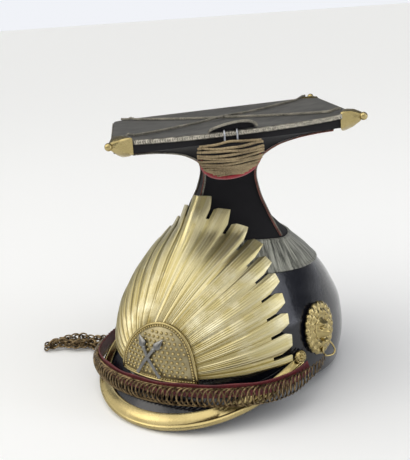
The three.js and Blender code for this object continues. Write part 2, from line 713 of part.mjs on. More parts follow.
// The visor's middle surface in the resting frame: around runs from one end to the other (0 to 1),
// down runs from the skull (0) to the outer edge (1).
function visorFrame(around) {
  const turn = Math.PI * around;
  const side = 1 - 2 * around;
  const z = VISOR.foot + (VISOR.end - VISOR.foot) * Math.abs(side) ** 4.5;
  const inner = resting(onBody(z, rad(VISOR.endAngle) * side, GAP + VISOR.thick / 2));
  const bow = Math.sin(turn) ** (2 / VISOR_EDGE.power);
  const outer = vec(
    VISOR_EDGE.halfWidth * Math.cos(turn),
    -VISOR_EDGE.rear - VISOR_EDGE.reach * bow,
    VISOR_EDGE.tip + (VISOR_EDGE.end - VISOR_EDGE.tip) * (1 - bow),
  );
  return { inner, outer };
}

function visorAxes(around) {
  const { inner, outer } = visorFrame(around);
  const step = 0.004;
  const before = visorFrame(Math.max(around - step, 0));
  const after = visorFrame(Math.min(around + step, 1));
  const along = after.outer.clone().add(after.inner).sub(before.outer).sub(before.inner).normalize();
  const down = outer.clone().sub(inner);
  const width = down.length();
  down.normalize();
  const normal = along.cross(down).normalize();
  return { inner, outer, down, normal, width };
}

// Stations from the visor's end to its middle, close together where it twists.
const halfVisor = [0, 0.006, 0.015, 0.026, 0.04, 0.057, 0.077, 0.1, 0.146, 0.206, 0.273, 0.346, 0.42];
const visorSteps = [...halfVisor, 0.5, ...halfVisor.map((around) => 1 - around).reverse()];

function visor() {
  const rows = [0, 0.35, 0.7, 1];
  const side = (offset) => visorSteps.map((around) => {
    const { inner, down, normal, width } = visorAxes(around);
    return rows.map((share) => inner.clone()
      .addScaledVector(down, share * width)
      .addScaledVector(normal, offset + VISOR.bulge * Math.sin(Math.PI * share)));
  });
  return sheet(side(VISOR.thick / 2), side(-VISOR.thick / 2));
}

// The brass rim: a strip on top of the visor's edge, folded over it and rolled under.
function visorRim() {
  const { thick } = RIM;
  const sectionAt = (around) => {
    const { width } = visorAxes(around);
    const gap = RIM.gap + RIM.endGap * Math.abs(1 - 2 * around) ** 6; // the visor twists at its ends
    const top = VISOR.thick / 2 + gap;
    const under = -top;
    const strip = Math.min(RIM.width, width - 1);
    const bulge = VISOR.bulge * Math.sin(Math.PI * (1 - strip / width));
    const half = VISOR.bulge * Math.sin(Math.PI * (1 - strip / width / 2));
    return [
      [-strip, top + bulge], [-strip, top + bulge + thick], [-strip / 2, top + half + thick], [RIM.gap + 0.3, top + thick],
      [RIM.gap + thick + 0.4, 0], [RIM.gap + 0.3, under - thick], [-2.6, under - thick], [-2.6, under],
      [RIM.gap, under], [RIM.gap, top], [-strip / 2, top + half],
    ];
  };
  const rings = visorSteps.map((around) => {
    const { outer, down, normal } = visorAxes(around);
    return sectionAt(around).map(([a, b]) => outer.clone().addScaledVector(down, a).addScaledVector(normal, b));
  });
  const outline = sectionAt(0).map(([a, b]) => new THREE.Vector2(a, b));
  return trimmedToSurface(skin(rings, false, THREE.ShapeUtils.triangulateShape(outline, [])), false);
}

// A domed brass stud that pins each end of the rim strip to the skull.
function rimStud(side) {
  const { inner, normal, down, width } = visorAxes(side > 0 ? 0.012 : 0.988);
  const seat = inner.clone().addScaledVector(down, width / 2);
  const lift = VISOR.thick / 2 + RIM.gap + RIM.endGap + VISOR.bulge + RIM.thick + GAP;
  seat.addScaledVector(normal, lift);
  const profile = [[0, 0], [4.4, 0], [4.4, 1], [3.4, 2.4], [1.8, 3.1], [0, 3.3]];
  const stud = new THREE.LatheGeometry(profile.map(([x, y]) => new THREE.Vector2(x, y)), 10);
  stud.applyQuaternion(new THREE.Quaternion().setFromUnitVectors(vec(0, 1, 0), normal));
  return geometryOf(solid(stud.translate(seat.x, seat.y, seat.z)));
}

// ---- Lion bosses, their rings, the chin strap and its chain ----

// Height of the lion mask over its disc: across and up run from -1 to 1.
function lionRelief(across, up) {
  const bump = (x, y, wide, high, size) => size * Math.exp(-(((across - x) / wide) ** 2) - ((up - y) / high) ** 2);
  const distance = Math.hypot(across, up);
  const turn = Math.atan2(across, up);
  const mane = 0.42 * Math.exp(-(((distance - 0.66) / 0.2) ** 2)) * (1 + 0.3 * Math.cos(11 * turn));
  const face = bump(0, -0.05, 0.36, 0.42, 0.62);
  const muzzle = bump(0, -0.2, 0.2, 0.16, 0.34) + bump(0, 0.02, 0.09, 0.22, 0.16);
  const brows = bump(-0.2, 0.2, 0.13, 0.1, 0.2) + bump(0.2, 0.2, 0.13, 0.1, 0.2);
  const eyes = bump(-0.2, 0.06, 0.08, 0.06, -0.12) + bump(0.2, 0.06, 0.08, 0.06, -0.12);
  const mouth = bump(0, -0.4, 0.16, 0.07, -0.3);
  const jaw = bump(0, -0.54, 0.15, 0.09, 0.2);
  return Math.max(0, mane + face + muzzle + brows + eyes + mouth + jaw);
}

function bossFrame(side) {
  const seat = onBody(BOSS.z, rad(BOSS.angle) * side, GAP);
  const above = onBody(BOSS.z + 8, rad(BOSS.angle) * side, GAP);
  const up = above.clone().sub(onBody(BOSS.z - 8, rad(BOSS.angle) * side, GAP)).normalize();
  const right = vec(0, side, 0);
  const out = right.clone().cross(up).normalize();
  const level = up.clone().cross(out).normalize();
  return { seat, up, out, level };
}

function inBossFrame(frame, across, up, out) {
  return frame.seat.clone()
    .addScaledVector(frame.level, across)
    .addScaledVector(frame.up, up)
    .addScaledVector(frame.out, out);
}

// The ring through a lion's mouth. grow is 0 for the ring and more for the groove that clears it.
function ringOf(frame, grow = 0) {
  const ring = new THREE.TorusGeometry(BOSS_RING.radius, BOSS_RING.wire + grow, 5, 12);
  const centre = inBossFrame(frame, -1, -BOSS_RING.drop, BOSS.rim + 8.6);
  const turned = new THREE.Matrix4().makeBasis(frame.level, frame.up, frame.out);
  ring.rotateX(rad(-14)).rotateY(rad(-20)).applyMatrix4(turned).translate(centre.x, centre.y, centre.z);
  return ring;
}

function lionBoss(side) {
  const frame = bossFrame(side);
  const spokes = 19;
  const shares = [0.14, 0.3, 0.46, 0.62, 0.78, 0.92];
  const ring = (share, high) => Array.from({ length: spokes }, (_, k) => {
    const turn = (2 * Math.PI * k) / spokes;
    const [x, y] = [share * Math.sin(turn), share * Math.cos(turn)];
    const relief = high ? BOSS.relief * lionRelief(x, y) : 0;
    return inBossFrame(frame, x * BOSS.radius, y * BOSS.radius, (high === null ? 0 : BOSS.rim) + relief);
  });
  const mask = skin([ring(0.5, null), ring(1, null), ring(1, 0), ...shares.reverse().map((s) => ring(s, 1))]);
  return geometryOf(solid(mask).subtract(solid(ringOf(frame, GAP))));
}

const chainCurve = new THREE.CatmullRomCurve3(CHAIN_ROUTE.map(({ x, y, z }) => vec(x, y, z)), false, 'centripetal');
const chainPoints = chainCurve.getSpacedPoints(28);
const upright = () => UP;
const narrowEnds = (i) => (i === 0 || i === chainPoints.length - 1 ? 0.35 : 1);

// The chin chain's row of rings, as one solid band of their height and depth.
function chinChain() {
  const [high, thick] = [CHAIN.height / 2, CHAIN.thick / 2];
  const section = [
    [thick * 0.4, -high], [thick, -high * 0.5], [thick, high * 0.5], [thick * 0.4, high],
    [-thick, high], [-thick, -high * 0.9],
  ];
  return bar(chainPoints, section, upright, narrowEnds);
}

// The strap behind the chain.
function chinStrap() {
  const near = CHAIN.thick / 2 + GAP;
  const far = near + STRAP.thick;
  const section = [[near, -STRAP.below], [far, -STRAP.below], [far, STRAP.above], [near, STRAP.above]];
  return bar(chainPoints.slice(1, -1), section, upright);
}

// The free tail: wire rings through one another, fused where they touch.
function tailChain() {
  return joined(TAIL_LINKS.map(({ x, y, tilt, turn, lift }) => {
    const ring = new THREE.TorusGeometry(TAIL.radius, TAIL.wire, 5, 10);
    const height = TAIL.radius * Math.sin(rad(tilt)) + TAIL.wire + GAP + lift;
    return ring.rotateY(rad(tilt)).rotateZ(rad(turn)).translate(x, y, height);
  }));
}

// ---- Assembly ----

const cap = new THREE.Group();
cap.add(
  mesh('skull', skull(), 'patentLeather'),
  mesh('crown', crown(), 'innerLeather'),
  mesh('tower', tower(), 'cloth'),
  mesh('top_board', topBoard(), 'topLeather'),
  mesh('top_cross_cords', crossCords(), 'silverBraid'),
  mesh('edge_braid', edgeBraid(), 'silverBraid'),
  mesh('band_galloon', galloon(), 'silverBraid'),
  mesh('cockade', cockade(), 'cockade'),
  mesh('cockade_backing', cockadeBacking(), 'redCloth'),
  mesh('plume_pocket', plumePocket(), 'topLeather'),
  mesh('sun_plate', sunPlate(), 'brass'),
  mesh('medallion', medallion(), 'brass'),
  mesh('lances', lances(), 'whiteMetal'),
);
for (const [name, turn] of [['front', -90], ['left', 0], ['back', 90]]) {
  cap.add(mesh(`corner_${name}`, cornerFitting(rad(turn)), 'brass'));
}
for (const [name, angle] of [['front', 0], ['left', 90], ['back', 180], ['right', 270]]) {
  cap.add(mesh(`piping_${name}`, piping(rad(angle)), 'piping'));
}
for (const [name, side] of [['left', 1], ['right', -1]]) {
  cap.add(mesh(`lion_boss_${name}`, lionBoss(side), 'brass'));
  cap.add(mesh(`boss_ring_${name}`, ringOf(bossFrame(side)), 'bronze'));
}

const leaning = new THREE.Group();
leaning.rotation.x = rad(-REST_TILT);
leaning.position.set(0, REAR, 0);
cap.position.set(0, -REAR, 0);
leaning.add(cap);

const model = new THREE.Group();
model.add(
  leaning,
  mesh('visor', visor(), 'patentLeather'),
  mesh('visor_rim', visorRim(), 'brass'),
  mesh('rim_stud_left', rimStud(1), 'brass'),
  mesh('rim_stud_right', rimStud(-1), 'brass'),
  mesh('chin_chain', chinChain(), 'bronze'),
  mesh('chin_strap', chinStrap(), 'redCloth'),
  mesh('chain_tail', tailChain(), 'bronze'),
);

// the origin is under the middle of the whole, on the surface it rests on
const box = new THREE.Box3().setFromObject(model, true);
const middle = box.getCenter(vec(0, 0, 0));
model.position.set(-middle.x, -middle.y, -box.min.z);
const group = new THREE.Group();
group.add(model);

export default group;
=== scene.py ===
import math
import bmesh
import bpy
import numpy as np
from mathutils import Matrix, Vector


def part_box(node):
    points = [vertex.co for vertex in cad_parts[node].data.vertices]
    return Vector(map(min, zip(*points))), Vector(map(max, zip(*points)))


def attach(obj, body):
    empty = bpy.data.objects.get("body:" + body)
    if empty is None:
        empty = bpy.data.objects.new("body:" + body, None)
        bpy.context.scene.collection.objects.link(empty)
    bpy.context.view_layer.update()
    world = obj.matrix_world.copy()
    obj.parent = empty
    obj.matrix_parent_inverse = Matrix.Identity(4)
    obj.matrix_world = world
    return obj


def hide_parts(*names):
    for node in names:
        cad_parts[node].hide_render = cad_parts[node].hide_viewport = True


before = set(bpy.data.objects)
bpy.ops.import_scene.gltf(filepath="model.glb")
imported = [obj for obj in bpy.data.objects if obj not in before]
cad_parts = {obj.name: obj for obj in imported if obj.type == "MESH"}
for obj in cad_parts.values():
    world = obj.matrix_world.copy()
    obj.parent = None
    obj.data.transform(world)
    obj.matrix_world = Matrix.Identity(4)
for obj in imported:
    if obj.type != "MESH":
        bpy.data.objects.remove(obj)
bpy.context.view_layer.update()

# ---- Where the cap stands ----
# The cap lies on a table. It leans back by LEAN, on the tip of its visor's rim and on the rear edge of
# its skull, REAR behind the skull's centre. Sizes are in millimetres, in the upright cap's own frame.

LEAN, REAR, SKULL_BACK = math.radians(6.3), 110.0, 114.692
skull_low, skull_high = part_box("skull")
SHIFT = np.array([500 * (skull_low[0] + skull_high[0]), 1000 * skull_high[1] - SKULL_BACK, 0.0])


def on_table(points):
    """Points of the resting cap, in millimetres from the skull's centre, in the shared frame."""
    return (np.asarray(points, float) + SHIFT) / 1000


def leaned(points):
    """Points of the upright cap, leaned back."""
    x, y, z = np.moveaxis(np.asarray(points, float), -1, 0)
    y = y - REAR
    return np.stack([x, y * math.cos(LEAN) + z * math.sin(LEAN) + REAR,
                     z * math.cos(LEAN) - y * math.sin(LEAN)], -1)


def in_place(points):
    """Points of the upright cap, leaned back and put in the shared frame."""
    return on_table(leaned(points))


# ---- Camera, light and floor ----
# A long lens looks slightly down at the cap's front left. A pale floor runs out of sight and meets a
# pale room. The room is bright low down and dark above, so that lacquer stays black.

CAMERA_AT = (420.40, -498.72, 316.68)
CAMERA_RIGHT = Vector((0.75564, 0.65154, -0.06711))
CAMERA_UP = Vector((-0.12982, 0.24941, 0.95966))
LENS, FILM = 59.4, 36
FLOOR_RADIUS, FLOOR_DROP = 90, 0.0005


def placed(name, data):
    """A new object of the scene."""
    made = bpy.data.objects.new(name, data)
    bpy.context.collection.objects.link(made)
    return made


camera = placed("camera", bpy.data.cameras.new("camera"))
camera.data.lens = LENS
camera.data.sensor_width = FILM
camera.data.clip_end = 100
camera.matrix_world = Matrix.Translation(on_table(CAMERA_AT)) @ Matrix(
    (CAMERA_RIGHT, CAMERA_UP, CAMERA_RIGHT.cross(CAMERA_UP))).transposed().to_4x4()
bpy.context.scene.camera = camera
bpy.context.scene.view_settings.view_transform = "Standard"


def linear(code):
    """A colour written as six hex digits, as the four linear numbers a shader takes."""
    parts = [int(code[i:i + 2], 16) / 255 for i in (0, 2, 4)]
    return tuple(c / 12.92 if c <= 0.04045 else ((c + 0.055) / 1.055) ** 2.4 for c in parts) + (1.0,)


def add(tree, kind, **settings):
    """A new node. A capital or an underscore starts a socket's name or number; the rest are properties.
    A socket takes a value, a socket, or a node, which stands for its main output."""
    made = tree.nodes.new(kind)
    for name, value in settings.items():
        if not (name[0].isupper() or name[0] == "_"):
            setattr(made, name, value)
            continue
        socket = made.inputs[int(name[1:]) if name[0] == "_" else name.replace("_", " ")]
        if isinstance(value, bpy.types.Node):
            value = value.outputs[2 if value.bl_idname == "ShaderNodeMix" else 0]
        if isinstance(value, bpy.types.NodeSocket):
            tree.links.new(value, socket)
        else:
            socket.default_value = value
    return made


def begun(name):
    """A new material with an empty tree, and the place on the object there, in metres."""
    material = bpy.data.materials.new(name)
    material.use_nodes = True
    material.node_tree.nodes.clear()
    return material, add(material.node_tree, "ShaderNodeTexCoord").outputs["Object"]


def finished(material, **look):
    """Ends a material in one shader that looks so."""
    shader = add(material.node_tree, "ShaderNodeBsdfPrincipled", **look)
    add(material.node_tree, "ShaderNodeOutputMaterial", Surface=shader)


def ranged(value, low, high, first=0.0, last=1.0):
    """A value between low and high, made to run from first to last."""
    return add(value.id_data, "ShaderNodeMapRange", Value=value, From_Min=low, From_Max=high,
               To_Min=first, To_Max=last)


def circle(count):
    """The angles of evenly spaced points round a circle."""
    return np.linspace(0, 2 * math.pi, count, False)


# pale matt paper sweep
sweep_paper, place = begun("sweep_paper")
finished(sweep_paper, Base_Color=linear("f7f8f9"), Roughness=0.95, Specular_IOR_Level=0.1)
floor = placed("floor", bpy.data.meshes.new("floor"))
floor.data.from_pydata([(FLOOR_RADIUS * math.cos(a), FLOOR_RADIUS * math.sin(a), -FLOOR_DROP)
                        for a in circle(96)], [], [list(range(96))])
floor.data.materials.append(sweep_paper)

world = bpy.data.worlds.new("room")
bpy.context.scene.world = world
world.use_nodes = True
tree, sky = world.node_tree, world.node_tree.nodes["Background"]
direction = add(tree, "ShaderNodeSeparateXYZ", Vector=add(tree, "ShaderNodeTexCoord").outputs["Generated"])
dimmed = ranged(direction.outputs[2], 0.03, 0.16, 0.98, 0.2)
tree.links.new(dimmed.outputs[0], sky.inputs["Strength"])
sky.inputs["Color"].default_value = linear("f3f5fa")

# kind of light, its power and colour, where it is and what it looks at, in metres, and its own shape
SUN, BOX, CAP = {"angle": math.radians(90)}, {"shape": "RECTANGLE"}, (0, 0, 0.1)
for name, kind, power, colour, at, look, shape in [
        ("window_light", "SUN", 1.74, "fffdf8", (0, 0, 0), (0.5, 0.62, -1.1), SUN),
        ("room_light", "SUN", 1.08, "fffdf8", (0, 0, 0), (-0.75, 0.35, -1.15), SUN),
        ("key_box", "AREA", 5, "fffaf2", (-0.9, -1.3, 1.1), CAP, {**BOX, "size": 1.0, "size_y": 0.8}),
        ("side_box", "AREA", 5, "eef2ff", (1.5, 0.55, 0.6), CAP, {**BOX, "size": 0.5, "size_y": 1.3})]:
    light = placed(name, bpy.data.lights.new(name, kind))
    light.data.energy, light.data.color = power, linear(colour)[:3]
    for part, value in shape.items():
        setattr(light.data, part, value)
    light.location = at
    light.rotation_euler = (Vector(look) - Vector(at)).to_track_quat("-Z", "Y").to_euler()

# ---- Skull ----
# Black patent leather, pressed in one piece over a block and lacquered until it shines. It is worn and
# crazed. Its lower edge is rounded over and its top ends under the lace band.

# height, half width across, half width fore and aft, centre, roundness (2 ellipse, 1 diamond), slant
BODY = np.array([
    (0, 88, 110, 0, 2, 0), (25, 92, 113, -1, 2, 0), (50, 90, 108, -1, 2, 0), (75, 81, 94, -2, 2, 0),
    (100, 68, 75, -5, 1.8, 0), (118, 56, 58, -9, 1.45, 0), (138, 43.5, 43.5, -12.5, 1.08, 0.15),
    (155, 34, 34, -13.5, 1, 0.4), (170, 30, 30, -14, 1, 0.65), (181.5, 34, 34, -14.5, 1, 0.8),
    (193, 52, 52, -15.5, 1, 0.95), (200.5, 80, 80, -16.5, 1, 1), (204.5, 108, 108, -17.5, 1, 1),
    (207.2, 141.4, 141.4, -18.2, 1, 1)])
BOARD_PITCH, BOARD_LEAN, BOARD_HALF = math.radians(5.9), math.radians(3.93), 141.4
LEATHER, WALL_TOP = 2.5, 105.9
AROUND = circle(160)


def smooth_curve(x, y):
    """A smooth curve through points, which never overshoots them."""
    x, y = np.array(x, float), np.array(y, float)
    run = np.diff(x)
    rise = np.diff(y) / run
    slope = np.concatenate([rise[:1], np.zeros(len(x) - 2), rise[-1:]])
    for i in range(1, len(x) - 1):
        if rise[i - 1] * rise[i] > 0:
            a, b = 2 * run[i] + run[i - 1], run[i] + 2 * run[i - 1]
            slope[i] = (a + b) / (a / rise[i - 1] + b / rise[i])

    def at(t):
        t = np.asarray(t, float)
        i = np.clip(np.searchsorted(x, t, side="left") - 1, 0, len(run) - 1)
        s = np.clip((t - x[i]) / run[i], 0, 1)
        r = 1 - s
        return (y[i] * r * r * (1 + 2 * s) + y[i + 1] * s * s * (1 + 2 * r)
                + run[i] * r * s * (slope[i] * r - slope[i + 1] * s))
    return at


SIDE, FRONT, CENTRE, ROUNDNESS, SLANT = [smooth_curve(BODY[:, 0], BODY[:, k]) for k in range(1, 6)]


def slanted(x, y, up, share, narrow=1.0):
    """Turns points of a section with the board, by a share of the board's pitch and lean. The board's two
    sides beside its front-left one run in a little towards it."""
    across, towards = (x + y) / BOARD_HALF, np.clip((x - y) / BOARD_HALF / 2 + 0.5, 0, 1)
    ends = 5.6 * np.maximum(-across, 0) ** 4 - 10.5 * np.maximum(across, 0) ** 4
    inward = narrow * share ** 4 * towards * ends
    x, y = x + inward, y + inward
    lean, pitch = BOARD_LEAN * share, BOARD_PITCH * share
    z = x * np.sin(lean) + up
    return np.stack([x * np.cos(lean), y * np.cos(pitch) - z * np.sin(pitch),
                     y * np.sin(pitch) + z * np.cos(pitch)], -1)


def on_body(z, angle, grow=0.0, least=1.0, cut=1e6):
    """Points on the body at height z. The angle runs from the front round to the wearer's left."""
    z, angle, grow = np.broadcast_arrays(np.asarray(z, float), angle, grow)
    power = 2 / np.maximum(ROUNDNESS(z), least)
    x = (SIDE(z) + grow) * np.sign(np.sin(angle)) * np.abs(np.sin(angle)) ** power
    y = -(FRONT(z) + grow) * np.sign(np.cos(angle)) * np.abs(np.cos(angle)) ** power
    points = slanted(np.clip(x, -cut, cut), np.clip(y, -cut, cut), 0.0 * x, SLANT(z))
    points[..., 1] += CENTRE(z)
    points[..., 2] += z
    return points


def above(points, least):
    """Points in metres, lifted where they are lower than least."""
    points[..., 2] = np.maximum(points[..., 2], least)
    return points


def skinned(name, rings, uv=None, around=False, along=False, capped=False):
    """A mesh over a grid of points in metres. It may close round each ring, from the last ring to the
    first, or by caps."""
    rings = np.asarray(rings, float)
    rows, cols = rings.shape[:2]
    r, c = np.meshgrid(np.arange(rows if along else rows - 1), np.arange(cols if around else cols - 1),
                       indexing="ij")
    corners = [(r, c), (r, c + 1), (r + 1, c + 1), (r + 1, c)]
    faces = np.stack([(a % rows) * cols + b % cols for a, b in corners], -1).reshape(-1, 4)
    ends = [list(range(cols)), list(range((rows - 1) * cols, rows * cols))] if capped else []
    mesh = bpy.data.meshes.new(name)
    mesh.from_pydata(rings.reshape(-1, 3).tolist(), [], faces.tolist() + ends)
    if uv is not None:
        every = np.concatenate([faces.reshape(-1)] + [np.array(end) for end in ends]).astype(int)
        flat = np.asarray(uv, float).reshape(-1, 2)[every]
        mesh.uv_layers.new(name="mm").data.foreach_set("uv", flat.reshape(-1))
    return placed(name, mesh)


def settled(piece, slot, *nodes, material=None, sharp=None):
    """Applies a piece's modifiers, turns its faces out, shades it smooth and fastens it to the cap."""
    if material:
        piece.data.materials.clear()
        piece.data.materials.append(material)
    plain = bpy.data.meshes.new_from_object(piece.evaluated_get(bpy.context.evaluated_depsgraph_get()))
    piece.modifiers.clear()
    piece.data = plain
    shape = bmesh.new()
    shape.from_mesh(plain)
    bmesh.ops.remove_doubles(shape, verts=shape.verts, dist=1e-6)
    bmesh.ops.recalc_face_normals(shape, faces=shape.faces)
    for edge in shape.edges:
        bent = sharp is not None and edge.is_manifold and edge.calc_face_angle(0) >= math.radians(sharp)
        edge.smooth = not bent
    for face in shape.faces:
        face.smooth = True
    shape.to_mesh(plain)
    shape.free()
    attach(piece, "root")
    if nodes:
        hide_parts(*nodes)


def shell(name, rings, slot, *nodes, material, sharp=None, **closing):
    """A skinned piece, settled."""
    settled(skinned(name, rings, **closing), slot, *nodes, material=material, sharp=sharp)


def noise(place, scale, detail=2.0, roughness=0.5):
    """Cloudy noise, with so many clouds to a unit of the place."""
    return add(place.id_data, "ShaderNodeTexNoise", Vector=place, Scale=scale, Detail=detail,
               Roughness=roughness)


def cracks(place, scale, wide, deep=1.0):
    """Fine cracks: deep in each crack, 0 past its width."""
    cells = add(place.id_data, "ShaderNodeTexVoronoi", Vector=place, Scale=scale, feature="DISTANCE_TO_EDGE")
    return ranged(cells, 0, wide, deep, 0)


def tinted(share, first, last):
    """A mix of two colours, each six hex digits or a node."""
    first, last = [linear(colour) if isinstance(colour, str) else colour for colour in (first, last)]
    return add(share.id_data, "ShaderNodeMix", data_type="RGBA", _0=share, _6=first, _7=last)


def raised(height, strength, distance, **more):
    """The normals of a surface raised by a height."""
    return add(height.id_data, "ShaderNodeBump", Strength=strength, Distance=distance, Height=height, **more)


# black patent leather: deep lacquer over fine grain, crazed, with duller worn patches
patent_leather, place = begun("patent_leather")
cloudy = noise(place, 26, 6, 0.62)
crazed = raised(cracks(place, 330, 0.06), 0.12, 0.0002)
grain = raised(noise(place, 900, 3), 0.06, 0.0003, Normal=crazed)
finished(patent_leather, Base_Color=tinted(cloudy, "08090f", "12141e"),
         Roughness=ranged(cloudy, 0.42, 0.72, 0.11, 0.3), Normal=raised(cloudy, 0.25, 0.002, Normal=grain),
         Coat_Weight=0.12, Coat_Roughness=0.1, Specular_IOR_Level=0.4)

foot = [(-0.4, -1.3), (-0.4, -0.5), (-0.1, -0.12), (0.4, 0)]
wall = [(z, 0) for z in np.linspace(2, WALL_TOP, 44)]
inner_wall = [(z, -LEATHER) for z in np.linspace(WALL_TOP, 2, 30)]
inner_wall += [(0.2, -LEATHER), (-0.3, -2.2), (-0.4, -1.9)]
skull_rings = [on_body(z, AROUND, grow) for z, grow in inner_wall + foot + wall]
shell("patent_skull", above(in_place(skull_rings), 0), "patent_leather", "skull", around=True, along=True,
      material=patent_leather)

# ---- Crown ----
# The domed top of the skull, inside the tower. It is raw leather, flesh side down.

# brown flesh side of leather: matt, mottled and a little hairy
flesh_side, place = begun("flesh_side_leather")
finished(flesh_side, Base_Color=tinted(noise(place, 60, 8, 0.7), "241a12", "4c3a2a"), Roughness=0.85,
         Normal=raised(noise(place, 1800), 0.5, 0.0003))

CROWN_FOOT, CROWN_TOP, CROWN_OUT, CROWN_IN, CROWN_SINK = 106.0, 150.0, -3.2, -5.7, -1.25
dome = np.concatenate([np.linspace(100.2, 106, 4), CROWN_FOOT + 43.9 * np.sin(np.linspace(0.08, 1.55, 16))])


def crown_ring(z, grow, lift):
    share = np.sqrt(1 - (max(0.0, z - CROWN_FOOT) / (CROWN_TOP - CROWN_FOOT)) ** 2)
    axis = np.array([0, CENTRE(z), z + lift])
    return axis + (on_body(z, AROUND, grow) + [0, 0, lift] - axis) * share


crown_rings = [crown_ring(z, CROWN_IN, CROWN_SINK if z > CROWN_FOOT else 0) for z in dome[::-1]]
crown_rings += [crown_ring(z, CROWN_OUT, 0) for z in dome]
shell("skull_crown", in_place(crown_rings), "inner_leather", "crown", around=True, material=flesh_side)

# ---- Visor ----
# One piece of thick black patent leather, sewn to the front of the skull. It falls steeply, is creased
# where it bends down at both sides, and is shaped like a crescent.

VISOR_THICK, VISOR_BULGE, VISOR_HALF, VISOR_OFF_TABLE = 2.0, 0.4, 95, 0.0006


def unit(vectors):
    return vectors / np.linalg.norm(vectors, axis=-1, keepdims=True)


def visor_frame(around):
    """Inner and outer edge of the visor's middle surface, at shares of the way round it."""
    around = np.clip(around, 0, 1)
    side = 1 - 2 * around
    seat = on_body(2 + 29 * np.abs(side) ** 4.5, math.radians(77) * side, 1.3)
    bow = np.sin(math.pi * around) ** (2 / 2.27)
    edge = np.stack([VISOR_HALF * np.cos(math.pi * around), -28.2 - 104.6 * bow, 2.1 + 33.9 * (1 - bow)], -1)
    return leaned(seat), edge


def visor_axes(around):
    """Both edges of the visor, the way down it, the way off its top, and its width."""
    around = np.asarray(around, float)
    seat, edge = visor_frame(around)
    seat_after, edge_after = visor_frame(around + 0.02)
    seat_before, edge_before = visor_frame(around - 0.02)
    along = seat_after + edge_after - seat_before - edge_before
    width = np.linalg.norm(edge - seat, axis=-1, keepdims=True)
    down = (edge - seat) / width
    return seat, edge, down, unit(np.cross(along, down)), width


STATIONS = 0.5 - 0.5 * np.cos(np.linspace(0, math.pi, 141))
seat, edge, down, off, width = visor_axes(STATIONS)
share = np.linspace(0, 1, 30)
bulges = VISOR_BULGE * np.sin(math.pi * share)
face = [seat + down * width * t + off * (1.0 + bulge) for t, bulge in zip(share, bulges)]
face += [edge + down * 0.45 + off * 0.6, edge + down * 0.45 - off * 0.6]
face += [seat + down * width * t + off * (bulge - 1.0) for t, bulge in zip(share[::-1], bulges[::-1])]
shell("visor_leather", above(on_table(np.stack(face, 1)), VISOR_OFF_TABLE), "patent_leather", "visor",
      around=True, capped=True, material=patent_leather, sharp=50)

# ---- Visor rim and its studs ----
# A strip of sheet brass lies on the visor's edge, is folded round it and closed under it. A rosette stud
# pins each end of the strip to the skull.

# rolled sheet brass, gilt and half worn off: pale gold where it is rubbed, olive brown where it is not
worn_gilt, place = begun("worn_gilt_brass")
clouds, specks = noise(place, 45, 7, 0.6), noise(place, 520, 4, 0.7)
worn = tinted(clouds, "8a7a48", "cdbc8a")
finished(worn_gilt, Base_Color=tinted(ranged(specks, 0.6, 0.78, 0, 0.4), worn, "5b4a2b"), Metallic=1.0,
         Roughness=ranged(clouds, 0.3, 0.7, 0.15, 0.34), Normal=raised(specks, 0.15, 0.0006))

RIM_WIDTH, RIM_THICK = 11.5, 0.9
gap = 0.6 + 0.4 * np.abs(1 - 2 * STATIONS)[:, None] ** 6
strip = np.minimum(RIM_WIDTH, width - 1)
top = VISOR_THICK / 2 + gap
bulge = VISOR_BULGE * np.sin(math.pi * (1 - strip / width))
half = VISOR_BULGE * np.sin(math.pi * (1 - strip / width / 2))
# the strip's section, from its bead at the top round the visor's edge: how far down and off the visor
rolled = [(-strip, top + bulge), (-strip, top + bulge + 1.1), (-strip + 0.5, top + bulge + 1.35),
          (-strip + 1.1, top + bulge + 1.1), (-strip + 1.5, top + bulge + RIM_THICK),
          (-strip / 2, top + half + RIM_THICK), (-2.6, top + RIM_THICK), (-2.0, top + 1.3), (-0.9, top + 1.6),
          (0.3, top + 1.5), (1.3, top + 0.9), (1.8, top * 0.5), (1.9, 0 * top), (1.7, -top * 0.6),
          (1.2, -top - 0.5), (0.9, -top - RIM_THICK), (-2.6, -top - RIM_THICK), (-2.6, -top),
          (0.6, -top), (0.6, top), (-strip / 2, top + half)]
rim_points = above(on_table(np.stack([edge + down * a + off * b for a, b in rolled], 1)), 0)
shell("visor_rim_strip", rim_points, "plate_brass", "visor_rim", around=True, capped=True, material=worn_gilt,
      sharp=40)

# a stud's profile, as radius and height, with eight petals pressed into it, deepest half way out
STUD = [(0.05, 0), (5.0, 0), (5.3, 0.6), (5.2, 1.4), (4.8, 2.0), (4.4, 1.9), (3.8, 2.7), (2.9, 3.3), (1.9, 3.3),
        (1.6, 3.0), (1.3, 3.7), (0.8, 4.2), (0.05, 4.3)]
PETALS, PETAL_DEPTH, STUD_OFF, STUD_UP = 8, 0.35, 2.6, 4.2
turn = circle(48)[None, :, None]
radius, height = np.array(STUD, float).T[:, :, None, None]
press = PETAL_DEPTH * np.cos(PETALS * turn) * np.sin(math.pi * radius / radius.max()) ** 2
for side, share, outward in [("left", 0.012, 0.9), ("right", 0.988, -0.9)]:
    seat_at, _, down_at, off_at, width_at = visor_axes([share])
    out_from = np.array([outward, -0.38, 0.22])
    at = seat_at[0] + down_at[0] * width_at[0] / 2 + off_at[0] + out_from * STUD_OFF + [0, 0, STUD_UP]
    axis = unit(out_from)
    one = unit(np.cross(axis, [0.3, 0.4, 0.86]))
    round_it = np.cos(turn) * one + np.sin(turn) * np.cross(axis, one)
    points = at + round_it * radius + axis * (height + press * (height > 0.2))
    shell("rim_rosette_" + side, on_table(points), "plate_brass", "rim_stud_" + side, around=True, capped=True,
          material=worn_gilt, sharp=45)

# ---- Tower ----
# Fine black broadcloth, stretched over a stiffened former and glued. It is pinched to a diamond at the
# waist and spreads to the square of the board. It is faded and dusty, and puckers a little at the waist.

